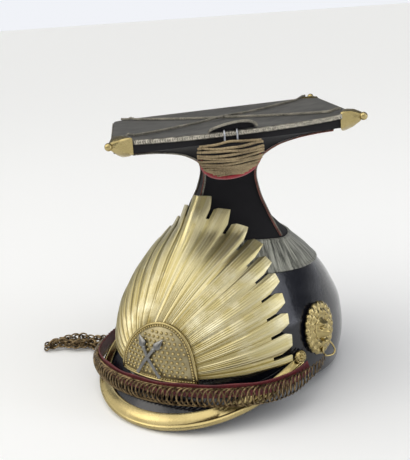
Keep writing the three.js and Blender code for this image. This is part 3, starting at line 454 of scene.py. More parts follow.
# black broadcloth: milled wool, no weave to be seen, a soft nap and faded patches
broadcloth, place = begun("black_broadcloth")
faded = noise(place, 22, 6, 0.6)
napped = raised(noise(place, 1400, 3), 0.35, 0.0004)
finished(broadcloth, Base_Color=tinted(faded, "07060a", "151418"), Roughness=0.92, Sheen_Weight=0.05,
         Sheen_Roughness=0.4, Sheen_Tint=linear("8a8c94"), Normal=raised(faded, 0.5, 0.003, Normal=napped))

CLOTH, CORNER_CUT, BOARD_CENTRE, BOARD_TOP, BOARD_BELOW = 2.2, 132.3, -19.4, 218.6, -3.3
EDGE_DIP, BOARD_SAG = 3.5, 3.0


def on_board(x, y, up, narrow=1.0):
    """Points in the board's frame: its diagonals run along x and y, and up leaves its top."""
    x, y, up = np.broadcast_arrays(np.asarray(x, float), y, up)
    to_edge = np.maximum(0, (x - y) / BOARD_HALF)
    along = (x + y) / BOARD_HALF
    dip = EDGE_DIP * to_edge ** 2 * np.maximum(0, 1 - along ** 2)
    return slanted(x, y, up - dip, 1.0, narrow) + [0, BOARD_CENTRE, BOARD_TOP]


def board_ring(half, up, cut):
    """A square round the board, half a diagonal from its middle, with its corners cut off."""
    x = np.clip(half * np.sign(np.sin(AROUND)) * np.sin(AROUND) ** 2, -cut, cut)
    y = np.clip(-half * np.sign(np.cos(AROUND)) * np.cos(AROUND) ** 2, -cut, cut)
    return on_board(x, y, up)


heights = np.concatenate([np.linspace(106.6, 200, 52), np.linspace(201, 207.2, 9)])
pucker = [0.5 * math.exp(-((z - 172) / 16) ** 2) * np.sin(9 * AROUND + 0.09 * z) * np.abs(np.sin(2 * AROUND))
          for z in heights]
cloth = [on_body(z, AROUND, -np.abs(p), 1.0, CORNER_CUT) for z, p in zip(heights, pucker)]
cloth += [board_ring(BOARD_HALF - wall, BOARD_BELOW, CORNER_CUT - wall) for wall in (0, CLOTH)]
cloth += [on_body(z, AROUND, -CLOTH, 1.0, CORNER_CUT - CLOTH) + [0, 0, 1.65 if z > 170 else 0]
          for z in heights[::-1] if z < 205]
shell("tower_cloth", in_place(cloth), "tower_cloth", "tower", around=True, along=True, material=broadcloth,
      sharp=60)

# ---- Ridge piping ----
# A pair of thin cords is sewn along each ridge of the tower: one of tarnished silver thread, one of red
# wool faded to brown. They run from the lace band up to the fittings of the board.


def plan(name, *sizes):
    """An empty geometry tree with named sizes. Gives back the tree and what comes in."""
    tree = bpy.data.node_groups.new(name, "GeometryNodeTree")
    tree.interface.new_socket("Geometry", in_out="INPUT", socket_type="NodeSocketGeometry")
    for size in sizes:
        tree.interface.new_socket(size, in_out="INPUT", socket_type="NodeSocketFloat")
    tree.interface.new_socket("Geometry", in_out="OUTPUT", socket_type="NodeSocketGeometry")
    return tree, tree.nodes.new("NodeGroupInput").outputs


def hand_over(tree, made, material):
    """Ends a geometry tree: instances made real, finished in a material."""
    real = add(tree, "GeometryNodeRealizeInstances", Geometry=made)
    add(tree, "NodeGroupOutput", _0=add(tree, "GeometryNodeSetMaterial", Geometry=real, Material=material))
    return tree


def evenly(tree, given, step="Step"):
    """The wires that come in, as curves cut into even steps."""
    curves = add(tree, "GeometryNodeMeshToCurve", Mesh=given["Geometry"])
    return add(tree, "GeometryNodeResampleCurve", mode="LENGTH", Curve=curves, Length=given[step])


def drawn(tree, curve, radius, sides, **more):
    """A wire drawn along a curve."""
    section = add(tree, "GeometryNodeCurvePrimitiveCircle", Resolution=sides, Radius=radius)
    return add(tree, "GeometryNodeCurveToMesh", Curve=curve, Profile_Curve=section, **more)


def figured(operation, *values, kind="ShaderNodeMath", **more):
    """Arithmetic on numbers, sockets and nodes."""
    tree = next(value for value in values if hasattr(value, "id_data")).id_data
    more.update(("_%d" % i, value) for i, value in enumerate(values))
    return add(tree, kind, operation=operation, **more)


def scaled(vector, size):
    return figured("SCALE", vector, kind="ShaderNodeVectorMath", Scale=size)


def grown(name, routes, tree, slot, *nodes, looped=False, **sizes):
    """The piece that a geometry tree makes along routes of points in metres, with sizes in metres."""
    points, wires = [], []
    for route in routes:
        first, count = len(points), len(route)
        points += [tuple(map(float, p)) for p in route]
        wires += [(first + i, first + (i + 1) % count) for i in range(count if looped else count - 1)]
    wire = bpy.data.meshes.new("route")
    wire.from_pydata(points, wires, [])
    piece = placed(name, wire)
    modifier = piece.modifiers.new("grown", "NODES")
    modifier.node_group = tree
    for socket in tree.interface.items_tree:
        key = socket.name.replace(" ", "_")
        if socket.in_out == "INPUT" and key in sizes:
            modifier[socket.identifier] = float(sizes[key])
    settled(piece, slot, *nodes)


def twisted_cord(name, material):
    """A tree that lays strands round each wire, as a rope is laid."""
    tree, given = plan(name, "Strands", "Lay radius", "Strand radius", "Lay length", "Step", "Flat")
    copies = add(tree, "GeometryNodeDuplicateElements", domain="SPLINE", Geometry=evenly(tree, given),
                 Amount=given["Strands"])
    laid = figured("DIVIDE", add(tree, "GeometryNodeSplineParameter").outputs["Length"], given["Lay length"])
    of_strands = figured("DIVIDE", copies.outputs["Duplicate Index"], given["Strands"])
    angle = figured("MULTIPLY", figured("ADD", laid, of_strands), 2 * math.pi)
    normal, tangent = add(tree, "GeometryNodeInputNormal"), add(tree, "GeometryNodeInputTangent")
    aside = figured("CROSS_PRODUCT", tangent, normal, kind="ShaderNodeVectorMath")
    flat = figured("MULTIPLY", figured("COSINE", angle), given["Flat"])
    across, over = scaled(normal, flat), scaled(aside, figured("SINE", angle))
    both = figured("ADD", across, over, kind="ShaderNodeVectorMath")
    wound = add(tree, "GeometryNodeSetPosition", Geometry=copies, Offset=scaled(both, given["Lay radius"]))
    return hand_over(tree, drawn(tree, wound, given["Strand radius"], 6, Fill_Caps=True), material)


def thread(name, dark, light, metallic, rough, pitch, sheen):
    """Cord of fine spun thread: close short fibres across it, painted shade between them, with soiled stretches."""
    material, place = begun(name)
    fibres = noise(place, 1000 / pitch, 2, 0.6)
    # painted shade: the fibres darken the colour where their bump is low; the coarser noise gives the soiled stretches
    mixed = figured("MULTIPLY_ADD", noise(place, 70, 5, 0.65), 0.6, fibres)
    finished(material, Base_Color=tinted(ranged(mixed, 0.6, 1), dark, light), Metallic=metallic,
             Roughness=rough, Sheen_Weight=sheen, Normal=raised(fibres, 0.6, 0.0003))
    return material


# silver thread gone grey: a metal strip wound on silk, dull and specked
silver_thread = thread("tarnished_silver_thread", "33312b", "aca798", 0.2, 0.6, 0.7, 0.0)
# worsted wool piping, faded from red to brown
faded_wool = thread("faded_red_worsted", "3a1d1a", "9c5f50", 0.0, 0.85, 0.7, 0.3)
silver_cord_tree = twisted_cord("silver_cord", silver_thread)
wool_cord_tree = twisted_cord("wool_cord", faded_wool)
PIPING = dict(Strands=2, Lay_radius=0.00034, Strand_radius=0.00048, Lay_length=0.0032, Step=0.0005, Flat=1)
PIPING_OFF = 0.75

heights = np.linspace(119, 205.2, 90)
for ridge, angle in [("front", 0), ("left", 90), ("back", 180), ("right", 270)]:
    way = on_body(heights, math.radians(angle))
    along = unit(np.gradient(way, axis=0))
    out_from = way - np.stack([0 * heights, CENTRE(heights), heights], -1)
    out_from = unit(out_from - along * np.sum(out_from * along, axis=1, keepdims=True))
    beside = np.cross(along, out_from)
    for colour, cord_tree, aside, nodes in [("silver", silver_cord_tree, PIPING_OFF, ["piping_" + ridge]),
                                            ("wool", wool_cord_tree, -PIPING_OFF, [])]:
        route = in_place(way + out_from * PIPING_OFF + beside * aside)
        grown("piping_%s_%s" % (ridge, colour), [route], cord_tree, "ridge_piping", *nodes, **PIPING)

# ---- Board ----
# A stiff square of leather on a board, dished in the middle. Its grain side is up, once black, now worn
# grey and streaked. Its four corners are cut off under the fittings.

# black grained leather worn to grey: fine streaks, cracked
worn_leather, place = begun("worn_black_leather")
turned = add(place.id_data, "ShaderNodeMapping", Vector=place, Rotation=(0, 0, math.radians(40)),
             Scale=(1, 0.09, 1))
mixed = figured("MULTIPLY_ADD", noise(place, 34, 6, 0.62), 0.9, noise(turned, 500, 5, 0.6))
finished(worn_leather, Base_Color=tinted(ranged(mixed, 0.62, 1.2), "282827", "605f5b"), Roughness=0.62,
         Normal=raised(noise(place, 700, 4), 0.3, 0.0004))


def dish(share):
    return -BOARD_SAG * (1 - share * share)


# share of the board's half diagonal, and height off its top
SLAB = [(s, dish(s)) for s in np.linspace(0.02, 0.995, 40)] + [(1, -0.5), (1, -3), (0.6, -6), (0.02, -6)]
shell("board_leather", in_place([board_ring(BOARD_HALF * s, up, CORNER_CUT * s) for s, up in SLAB]),
      "top_leather", "top_board", around=True, capped=True, material=worn_leather, sharp=40)

# ---- Cross cords ----
# Two flattened cords of silver thread cross the board from corner to corner. One passes over the other.

CROSS_CORD = dict(Strands=3, Lay_radius=0.0006, Strand_radius=0.00065, Lay_length=0.0085, Step=0.0006, Flat=0.55)
for name, dx, dy, first, last, rise, nodes in [("fore_aft", 0, 1, -128, 126, 1.0, []),
                                               ("across", 1, 0, -131, 126, 0.0, ["top_cross_cords"])]:
    t = np.linspace(first, last, 120)
    hump = rise * np.maximum(0, 1 - np.abs(t) / 35)
    over_hood = 1.6 * np.clip((np.abs(t) - 112) / 8, 0, 1) * (t > -120)
    route = in_place(on_board(dx * t, dy * t, dish(np.abs(t) / BOARD_HALF) + 1.75 + hump + over_hood))
    grown("board_cord_" + name, [route], silver_cord_tree, "silver_braid", *nodes, **CROSS_CORD)

# ---- Edge braid ----
# The board's edge is bound with a flat braid of silver thread, two plaits high, sewn through the leather.
# It is specked and worn, and has gone at the wearer's right corner.


def pattern(material):
    """The place on a piece's flat pattern, in millimetres."""
    return add(material.node_tree, "ShaderNodeUVMap", uv_map="mm")


# flat silver braid: plaited in two rows, the strands crossing at a slant, specked black where it is worn, with painted
# shade between the plaits and rows
plaited_silver, place = begun("plaited_silver_braid")
parts = add(place.id_data, "ShaderNodeSeparateXYZ", Vector=pattern(plaited_silver))
row = figured("PINGPONG", parts.outputs[1], 1.95)
plait = figured("PINGPONG", figured("MULTIPLY_ADD", row, 0.8, parts.outputs[0]), 0.9)
height = figured("MINIMUM", plait, figured("MULTIPLY", row, 0.5))
# painted shade: the plait's own height darkens the gaps between plaits and rows; the noise adds the worn specks
plait_gap_shade_and_specks = figured("MULTIPLY_ADD", height, 0.38, noise(place, 560, 5, 0.75))
finished(plaited_silver, Base_Color=tinted(ranged(plait_gap_shade_and_specks, 0.5, 0.78), "2b2922", "d8d2c2"), Metallic=0.3,
         Roughness=0.5, Normal=raised(height, 0.8, 0.0006))

# a side of the board, from corner to corner, and the shares of it left bare at its start and end
SIDES = [((-1, 0), (0, -1), 0.13, 0.02), ((0, -1), (1, 0), 0.02, 0.02), ((1, 0), (0, 1), 0.02, 0.02),
         ((0, 1), (-1, 0), 0.02, 0.13)]
outline = np.concatenate([np.array(a) + (np.array(b) - a) * np.linspace(skip, 1 - stop, 60)[:, None]
                          for a, b, skip, stop in SIDES])


def walked(points, power=1.0):
    """How far along a line its points lie."""
    return np.concatenate([[0], np.cumsum(np.linalg.norm(np.diff(points, axis=0), axis=1) ** power)])


def braid_ring(grow, up):
    cut = CORNER_CUT + min(grow * 0.7, 0.7)
    spread = outline * (BOARD_HALF + grow)
    return on_board(np.clip(spread[:, 0], -cut, cut), np.clip(spread[:, 1], 6 - cut, cut - 6), up)


# the braid's section: how far off the board's edge and up it
profile = [(0.42, -5.6), (1.6, -5.4), (2.1, -4.8), (2.2, -4.2), (1.9, -3.3), (1.6, -2.95), (1.9, -2.6),
           (2.2, -1.7), (2.1, -1.0), (1.6, -0.35), (0.42, -0.2), (0.42, -0.2), (0.42, -5.6)]
profile = [(off, 0.72 * up) for off, up in profile]
uv = np.stack(np.meshgrid(walked(braid_ring(1, 0)), [up for _, up in profile], indexing="ij"), -1)
shell("board_edge_braid", in_place(np.stack([braid_ring(off, up) for off, up in profile], 1)), "silver_braid",
      "edge_braid", uv=uv, capped=True, material=plaited_silver, sharp=60)

# ---- Corner fittings ----
# Hoods of pressed gilt brass cap three corners of the board, with a tongue on the top and a cut nose. A
# small turned ball is riveted on each nose. The wearer's right corner has lost its fitting.


def ball(at, radius, spokes=20):
    turn, rise = np.meshgrid(circle(spokes), np.linspace(-1.5, 1.5, spokes // 2))
    flat = np.cos(rise)
    return at + radius * np.stack([np.cos(turn) * flat, np.sin(turn) * flat, np.sin(rise)], -1)


def one_piece(name, *pieces):
    """Joins pieces into one."""
    shape = bmesh.new()
    for piece in pieces:
        shape.from_mesh(piece.data)
        bpy.data.objects.remove(piece)
    joined = bpy.data.meshes.new(name)
    shape.to_mesh(joined)
    shape.free()
    return placed(name, joined)


def hood_point(turn, reach, beside, up):
    """Points by a corner of the board: so far out along its diagonal, so far beside that, and up."""
    return on_board(reach * math.cos(turn) - beside * math.sin(turn),
                    reach * math.sin(turn) + beside * math.cos(turn), up, 0.0)


def hood_ring(turn, reach, low, high, top, bottom, tilt):
    """A ring of a hood across its corner, from low to high on either side of the diagonal."""
    middle, half = (low + high) / 2, (high - low) / 2
    shape = [(low, bottom + 3), (low, (top + bottom) / 2), (low, top - 1.2), (low + 0.8, top),
             (middle - half * 0.4, top + 0.4), (middle, top + 0.6), (middle + half * 0.4, top + 0.4),
             (high - 0.8, top), (high, top - 1.2), (high, (top + bottom) / 2), (high, bottom + 3),
             (middle + half * 0.5, bottom + 1), (middle, bottom), (middle - half * 0.5, bottom + 1)]
    beside, up = np.array(shape).T
    slope = abs(tilt) * np.abs(beside - (low if tilt > 0 else high)) / (high - low)
    return hood_point(turn, reach - slope, beside, up)


# corner: its direction, its ball's reach, place beside the diagonal and height, and rings of its hood:
# reach, low side, high side, top, bottom, tilt
FINIAL_RADIUS = 3.1
HOODS = {
    "front": (-90, (137.6, 3.2, -4.3), [
        (126.2, -9.6, 16.2, 0.9, -13.0, -4), (126, -10, 16.8, 1.6, -13.7, -4), (127.2, -9, 15.8, 1.9, -13.5, -4),
        (131, -4.4, 11.2, 1.0, -11.4, -3), (134.8, -0.6, 7, -1.2, -8, -1), (136.4, 1.3, 5.1, -2.4, -6.4, 0)]),
    "left": (0, (137.6, -3.8, -4.2), [
        (126.2, -16.2, 0, 0.9, -13, 7), (126, -16.8, 0.6, 1.6, -13.6, 7), (127.2, -15.8, 0.2, 1.9, -13.4, 6),
        (131, -11.4, 0.2, 1.2, -11.4, 3), (134.8, -7.2, 0.2, -1.2, -8, 1), (136.4, -5.7, -1.9, -2.4, -6.2, 0)]),
    "back": (90, (137.6, 1.9, 0.4), [
        (129.4, -11.8, 10, 0.2, -11.6, 0), (129.2, -12.3, 10.6, 0.8, -12, 0), (130.4, -11.4, 9.6, 1.0, -11.8, 0),
        (133.6, -7.8, 7, 0.9, -8.5, 0), (136, -3.4, 5, 0.9, -4, 0), (137, 0, 3.8, 0.9, -1.4, 0)])}
for corner, (turn, finial_at, rings) in HOODS.items():
    turn = math.radians(turn)
    hood, finial = [skinned("part", in_place(part), around=True, capped=True) for part in (
        [hood_ring(turn, *ring) for ring in rings], ball(hood_point(turn, *finial_at), FINIAL_RADIUS))]
    settled(one_piece("corner_hood_" + corner, hood, finial), "plate_brass", "corner_" + corner,
            material=worn_gilt, sharp=25)

# ---- Lace band ----
# A band of flat silver lace round the foot of the tower, over the join of cloth and skull. It has a
# narrow rolled border above and below. It has gone grey-green, and is creased at a slant.

# silver lace: a ribbed metal weave, greened, its creases lighter than the rest, with painted shade in the troughs
# between its ribs
silver_lace, place = begun("greyed_silver_lace")
flat_place = pattern(silver_lace)
slanting = add(place.id_data, "ShaderNodeMapping", Vector=flat_place, Rotation=(0, 0, math.radians(-14)),
               Scale=(1, 0.12, 1))
ribs = add(place.id_data, "ShaderNodeTexWave", Vector=flat_place, Scale=0.55, wave_type="BANDS",
           bands_direction="Y", Distortion=1.5, Detail=2.0).outputs[1]
# painted shade: the ribs that raise the bump also darken the colour in their troughs
mixed = figured("MULTIPLY_ADD", ribs, 0.14, noise(slanting, 0.42, 6, 0.6))
finished(silver_lace, Base_Color=tinted(ranged(mixed, 0.44, 0.72), "2f302a", "c2c2b4"), Metallic=0.45,
         Roughness=0.46, Normal=raised(ribs, 0.35, 0.2))

LOW, HIGH = 93.5, 118.0
# height and distance off the body: the lower border, the flat band, the upper border
profile = [(LOW, 0.7), (LOW - 0.1, 1.8), (LOW + 0.5, 2.5), (LOW + 1.6, 2.4), (LOW + 2.1, 1.7)]
profile += [(z, 1.75) for z in np.linspace(LOW + 3, HIGH - 3.5, 12)]
profile += [(HIGH - 2.4, 1.7), (HIGH - 2.0, 2.5), (HIGH - 1, 2.8), (HIGH - 0.2, 2.4), (HIGH, 1.6), (HIGH, 0.7),
            (HIGH, 0.7), (LOW, 0.7)]
around = np.linspace(0, 2 * math.pi, 241)
creased = 0.35 * np.sin(23 * around + 2 * np.sin(5 * around))
band = [on_body(z, around, off + creased * (off == 1.75)) for z, off in profile]
uv = np.stack(np.meshgrid(walked(band[8]), [z for z, _ in profile]), -1)
shell("lace_band", in_place(band), "silver_braid", "band_galloon", uv=uv, material=silver_lace, sharp=60)

# ---- Plume pocket ----
# At the middle of one edge the board's leather is raised into a small half cone, open outwards, that
# takes the stem of a plume. Its mouth is bound with silver cord. Inside it a plug of black cloth paints the shade, so
# it is dark inside.


def by_edge(along, out_from, up):
    """Points by the middle of the board's front-left edge: along it, out from its face, up off its top."""
    along, out_from, up = np.broadcast_arrays(np.asarray(along, float), out_from, up)
    radial = BOARD_HALF / math.sqrt(2) + out_from
    return on_board((radial + along) / math.sqrt(2), (along - radial) / math.sqrt(2), up)


def pocket_arch(half, high, out_from):
    turn = np.linspace(0, math.pi, 41)
    high = high * np.sin(turn) ** 0.8 * (1 + 0.3 * np.cos(turn))
    return by_edge(half * np.cos(turn) - 3.2, out_from, 0.3 + high)


# the pocket's arches from its mouth inwards: half width, height, place out from the edge
ARCHES = [(18.0, 5.9, 1), (16.5, 5.2, -4), (14.5, 4.2, -9), (12.0, 3.1, -14), (8.6, 1.8, -19), (3.0, 0.4, -23)]
POCKET_WALL = 1.2
inner = [pocket_arch(a - POCKET_WALL, max(b - POCKET_WALL, 0.1), c) for a, b, c in ARCHES[::-1]]
shell("pocket_leather", in_place(np.stack(inner + [pocket_arch(*arch) for arch in ARCHES], 1)), "top_leather",
      "plume_pocket", around=True, capped=True, material=worn_leather)
# painted shade: a plug of black cloth just inside the mouth makes the pocket look dark inside
shell("pocket_plug", in_place([pocket_arch(16.8 * k, 4.9 * k, -1.5) for k in (1.0, 0.5, 0.02)]), "tower_cloth",
      material=broadcloth)
grown("pocket_binding", [in_place(pocket_arch(17.9, 5.8, 1.3)[1:-1])], silver_cord_tree, "silver_braid", Strands=3,
      Lay_radius=0.0005, Strand_radius=0.0006, Lay_length=0.0045, Step=0.0004, Flat=1)

# ---- Cockade ----
# An oval rosette of silver-gilt cord, laid in rows on a stiff domed ground, with a red wool
# edge below. Two plated staples hold it to the board's edge, under the plume pocket.

# gold cord gone brown: twisted gilt thread on silk
gilt_cord = thread("tarnished_gilt_cord", "564730", "b5a27d", 0.1, 0.6, 0.6, 0.0)
# crimson wool, ribbed across
crimson_wool = thread("crimson_ribbed_wool", "5a1119", "b8323c", 0.0, 0.9, 0.9, 0.3)
MIDDLE, COCKADE_DOWN, COCKADE_OFF = -6, -15.5, 4


def off_cockade(across, down, bulge):
    """Points on the cockade: across from its middle, down from the board's top, off its flat ground."""
    return by_edge(across + MIDDLE, COCKADE_OFF + bulge - 0.012 * (down + 6) ** 2, down)


def cockade_point(share, angle, lift):
    x, y = np.sin(angle), np.cos(angle)
    upper = y > 0
    across = share * 25.3 * np.sign(x) * np.abs(x) ** np.where(upper, 0.8, 0.95)
    height = share * np.where(upper, 8, 18.6) * np.sign(y) * np.abs(y) ** np.where(upper, 0.45, 1.0)
    return off_cockade(across, COCKADE_DOWN + height - (1 - share) * 5, 5 * (1 - share ** 2) + lift)


ground = [cockade_point(s, circle(96), -1.5) for s in (0.03, 0.98)]
ground += [cockade_point(s, circle(96), 0.1) for s in np.linspace(0.98, 0.03, 14)]
shell("cockade_ground", in_place(ground), "cockade_cord", "cockade", around=True, capped=True,
      material=broadcloth)

# the cords lie in rows from side to side, each a little more bowed than the one above
spans, across = [], np.linspace(-1, 1, 61)
for level in np.concatenate([7.4 - 2.3 * np.arange(8), -10.5 - 1.35 * np.arange(6)]):
    half = 24.8 * np.sqrt(1 - (max(0, -level) / 18.9) ** 2) * (1 - 0.1 * max(0, level / 8) ** 3)
    rise = 0.9 * np.exp(-((across * half + 1) / 8) ** 2) * max(0, (level + 4) / 12)
    x, y = across * half, level + rise + 0.5 * np.sin(3 * across + level)
    share = np.sqrt(np.minimum(1, (x / 25.4) ** 2 + np.where(y > 0, y / 9, y / 19.2) ** 2))
    spans.append(in_place(off_cockade(x, COCKADE_DOWN + y - (1 - share) * 2, 5.2 * (1 - share ** 2) + 0.6)))
grown("cockade_rows", spans, twisted_cord("gilt_cord", gilt_cord), "cockade_cord", Strands=2, Lay_radius=0.00042,
      Strand_radius=0.00072, Lay_length=0.0032, Step=0.0006, Flat=1)

lower = np.linspace(0.53 * math.pi, 1.47 * math.pi, 141)
ribs = 0.3 * np.cos(np.arange(141) * math.pi)
edge_share = 0.97 + 0.42 * np.maximum(0, -np.cos(lower)) ** 3
# section of the red edge: share past the cockade's own, height off it, and whether it is ribbed
RED_EDGE = [(-0.3, -3.2, 0), (0, -2.2, 0), (0.015, -1.4, 1), (0, -0.6, 1), (-0.1, 0.2, 1), (-0.3, -1.8, 0)]
rim = [cockade_point(edge_share + past, lower, up + ribbed * ribs) for past, up, ribbed in RED_EDGE]
shell("cockade_red_edge", in_place(np.stack(rim, 1)), "red_cloth", "cockade_backing", around=True, capped=True,
      material=crimson_wool)

# plated steel wire: bright, a little grey
plated_steel, place = begun("plated_steel_wire")
finished(plated_steel, Base_Color=tinted(noise(place, 300, 4), "6d7076", "c9ccd2"), Metallic=1.0,
         Roughness=0.32)


def round_wire(name, material):
    """A tree that makes drawn round wire of each route."""
    tree, given = plan(name, "Wire radius", "Step")
    return hand_over(tree, drawn(tree, evenly(tree, given), given["Wire radius"], 10, Fill_Caps=True), material)


staples = [in_place(by_edge(4 * [along], [-3.0, 1.9, 3.4, 3.8], [0.9, 0.9, -2.0, -8.5]))
           for along in (-9.8, -0.4)]
grown("cockade_staples", staples, round_wire("staple_wire", plated_steel), "white_metal", Wire_radius=0.0007,
      Step=0.0005)

# ---- Sunburst plate ----
# Stamped sheet brass, once gilt: a fan of ray bundles round a plain middle. Each bundle is ridged, fluted
# in six, cut to a blunt point, and parted from the next by a narrow pierced slot. It is bent to the front
# of the cap and held by loops through the leather.

PLATE_ARC, PLATE_HEIGHT, PLATE_INNER, PLATE_POWER = 2.0, 12.0, 24.0, 1.3
PLATE_THICK, PLATE_LIFT, PLATE_RIDGE = 0.9, 4.7, 1.7
FLUTES, FLUTE_DEEP, SLOT_DEEP = 6, 0.5, 7.5
slant_z = np.arange(44) * 4.0
height_up_front = smooth_curve(walked(on_body(slant_z, 0.0)), slant_z)
fine_turn = np.radians(np.linspace(0, 135, 181))
sweep = on_body(np.arange(0, 181.0)[:, None], fine_turn[None, :], 3.0, PLATE_POWER)
angle_table = np.array([np.interp(np.arange(171), walked(row), fine_turn) for row in sweep])


def on_front(arc, slant, lift):
    """Points laid on the cap's front: so far round it, so far up it from its lower edge, so far off it."""
    arc, slant, lift = np.broadcast_arrays(np.asarray(arc, float), slant, lift)
    z = height_up_front(slant)
    level = np.clip(z, 0, 179.999)
    reach = np.clip(np.abs(arc), 0, 169.999)
    i, j = level.astype(int), reach.astype(int)
    s, t = level - i, reach - j
    angle = ((angle_table[i, j] * (1 - t) + angle_table[i, j + 1] * t) * (1 - s)
             + (angle_table[i + 1, j] * (1 - t) + angle_table[i + 1, j + 1] * t) * s)
    return on_body(z, np.sign(arc) * angle, lift, PLATE_POWER)


# length of each ray bundle, the angle where it ends, and the length there
RAYS = [(159, 4.5, 146), (149, 12.8, 136), (139, 22, 128), (133, 31.6, 122), (127.5, 41.2, 118), (125, 51.3, 115),
        (123.5, 61.4, 114.5), (124, 70.6, 115.5), (125.5, 80, 116), (125.5, 84.8, 112)]
half_plate, start, notch_before = [], 0, 0
for i, (length, end, notch) in enumerate(RAYS):
    middle, spread = (start + end) / 2, end - start
    first, last = (start + 1.15 if i else 0), end - 0.12
    # where the bundle's outline bends, its length there, and how far it is up its ridge there
    bends = [(middle + spread * 0.26, length, 1), (end, notch, 0)]
    bends = ([(start, notch_before, 0), (middle - spread * 0.22, length, 1)] if i else [(0, length, 1)]) + bends
    knots, reaches, crests = zip(*bends)
    flutes, flutes_before = (FLUTES, i * (FLUTES + 1) - FLUTES / 2) if i else (FLUTES / 2, 0)
    for t in np.linspace(0, 1, 5 * FLUTES + 1 if i else 3 * 5 + 1):
        angle = first + (last - first) * t
        half_plate.append((angle, np.interp(angle, knots, reaches), np.interp(angle, knots, crests),
                           t * flutes + (flutes_before + 0.5)))
    if i < len(RAYS) - 1:
        half_plate.append((end - 0.1, notch - SLOT_DEEP, 0, half_plate[-1][3] + 0.05))
        half_plate.append((end + 1.12, notch - SLOT_DEEP, 0, half_plate[-1][3] + 0.9))
    start, notch_before = end, notch
columns = [(-a, b, c, 1 - d) for a, b, c, d in half_plate[:0:-1]] + half_plate
angle, reach, crest, phase = [np.array(v, float)[:, None] for v in zip(*columns)]
angle, share = np.radians(angle), np.linspace(0, 1, 26)[None, :]
distance = PLATE_INNER + (reach - PLATE_INNER) * share
flute = 1 - np.abs(2 * (phase % 1) - 1) ** 1.6
fades = np.clip((distance - PLATE_INNER + 2) / 16, 0, 1) * np.clip((1.05 - share) * 2.4, 0.25, 1)
where = PLATE_ARC + distance * np.sin(angle), PLATE_HEIGHT + distance * np.cos(angle)
lift = PLATE_LIFT + PLATE_RIDGE * crest * (0.3 + 0.7 * share)
front = on_front(*where, lift + FLUTE_DEEP * flute * fades)
behind = on_front(*where, lift - PLATE_THICK)
flat = np.stack(np.broadcast_arrays(phase, distance), -1)
grid, uv = [np.concatenate([a, b[:, ::-1], a[:, :1]], 1) for a, b in [(front, behind), (flat, flat)]]

# stamped gilt brass: bright where hands and cloth have rubbed it, silvery in places, olive in the grooves; some flutes
# painted lighter as highlight
stamped_gilt, place = begun("stamped_gilt_brass")
parts = add(place.id_data, "ShaderNodeSeparateXYZ", Vector=pattern(stamped_gilt))
groove = ranged(figured("PINGPONG", parts.outputs[0], 0.5), 0, 0.1, 0.75, 0)
outwards = ranged(parts.outputs[1], 40, 110)
clouds, specks = noise(place, 30, 6, 0.6), noise(place, 600, 4, 0.7)
# painted highlight: each flute gets a random share of its own towards the pale colour, standing in for facets that
# catch the light at different tilts
which = figured("FLOOR", parts.outputs[0])
facet_glint = add(place.id_data, "ShaderNodeTexWhiteNoise", noise_dimensions="1D", W=which)
facet_glint_share = figured("MULTIPLY_ADD", facet_glint, 0.75, -0.12)
glint_and_rubbed_wear = figured("MAXIMUM", ranged(clouds, 0.5, 0.68), facet_glint_share, use_clamp=True)
# the pale colour lies on rubbed, silvery clouds and, as painted highlight, on the flutes picked above
worn = tinted(glint_and_rubbed_wear, tinted(outwards, "9d8d58", "c6ba86"), "d8d1b0")
grooved = figured("MULTIPLY", groove, figured("MULTIPLY_ADD", outwards, -0.75, 1.0))
dirt = figured("MAXIMUM", ranged(specks, 0.6, 0.75, 0, 0.35), grooved)
finished(stamped_gilt, Base_Color=tinted(dirt, worn, "5c4f28"), Metallic=1.0,
         Roughness=ranged(clouds, 0.35, 0.65, 0.4, 0.3), Normal=raised(specks, 0.2, 0.0006))
shell("sunburst", in_place(grid), "plate_brass", "sun_plate", uv=uv, capped=True, material=stamped_gilt,
      sharp=32)

# ---- Medallion ----
# A half-round plate of stamped brass over the rays' root. It has a polished roll round it, a row of beads
# inside that, and a field of raised pearls.

MEDAL_ARC, MEDAL_HALF, MEDAL_HIGH, MEDAL_LIFT, MEDAL_MIDDLE = 11.0, 37.0, 47.5, 6.9, 0.4
# share of the way out from the plate's middle, and height off the rays: field, bead bed, roll, back
MEDAL_ROWS = [(0.03, 1.6), (0.2, 1.5), (0.4, 1.35), (0.6, 1.0), (0.8, 0.5), (0.855, 0.3), (0.862, 0.7),
              (0.875, 0.7), (0.882, 0.3), (0.93, 0.2), (0.94, 0.1), (0.945, 0.9), (0.955, 1.4), (0.972, 1.6),
              (0.988, 1.4), (1.0, 0.8), (1.003, 0.2), (1.0, -1.2), (0.5, 0.0), (0.05, 0.3)]
turn = np.linspace(0, math.pi, 97)
arch = np.stack([np.cos(turn) + 0.11 * np.sin(turn) - 0.035 * np.sin(2 * turn), np.sin(turn)], -1)
foot_line = np.stack([np.linspace(-1, 1, 42)[1:-1], np.zeros(40)], -1)
medal_outline = np.concatenate([arch, foot_line])


def on_medallion(share, up):
    """The medallion's outline, drawn in to a share of itself and raised."""
    x, y = medal_outline.T
    return on_front(MEDAL_ARC + x * MEDAL_HALF * share,
                    PLATE_HEIGHT + MEDAL_HIGH * (MEDAL_MIDDLE + (y - MEDAL_MIDDLE) * share), MEDAL_LIFT + up)


# the same brass, dull and olive where polish never reached
dull_gilt, place = begun("dull_gilt_brass")
finished(dull_gilt, Base_Color=tinted(noise(place, 200, 6, 0.7), "6e6344", "c0b592"), Metallic=1.0,
         Roughness=0.42)
shell("medallion_plate", in_place([on_medallion(share, up) for share, up in MEDAL_ROWS]), "plate_brass",
      "medallion", around=True, capped=True, material=dull_gilt, sharp=40)
grown("medallion_roll", [in_place(on_medallion(0.985, 1.0))], round_wire("medallion_wire", worn_gilt),
      "plate_brass", looped=True, Wire_radius=0.0011, Step=0.0012)


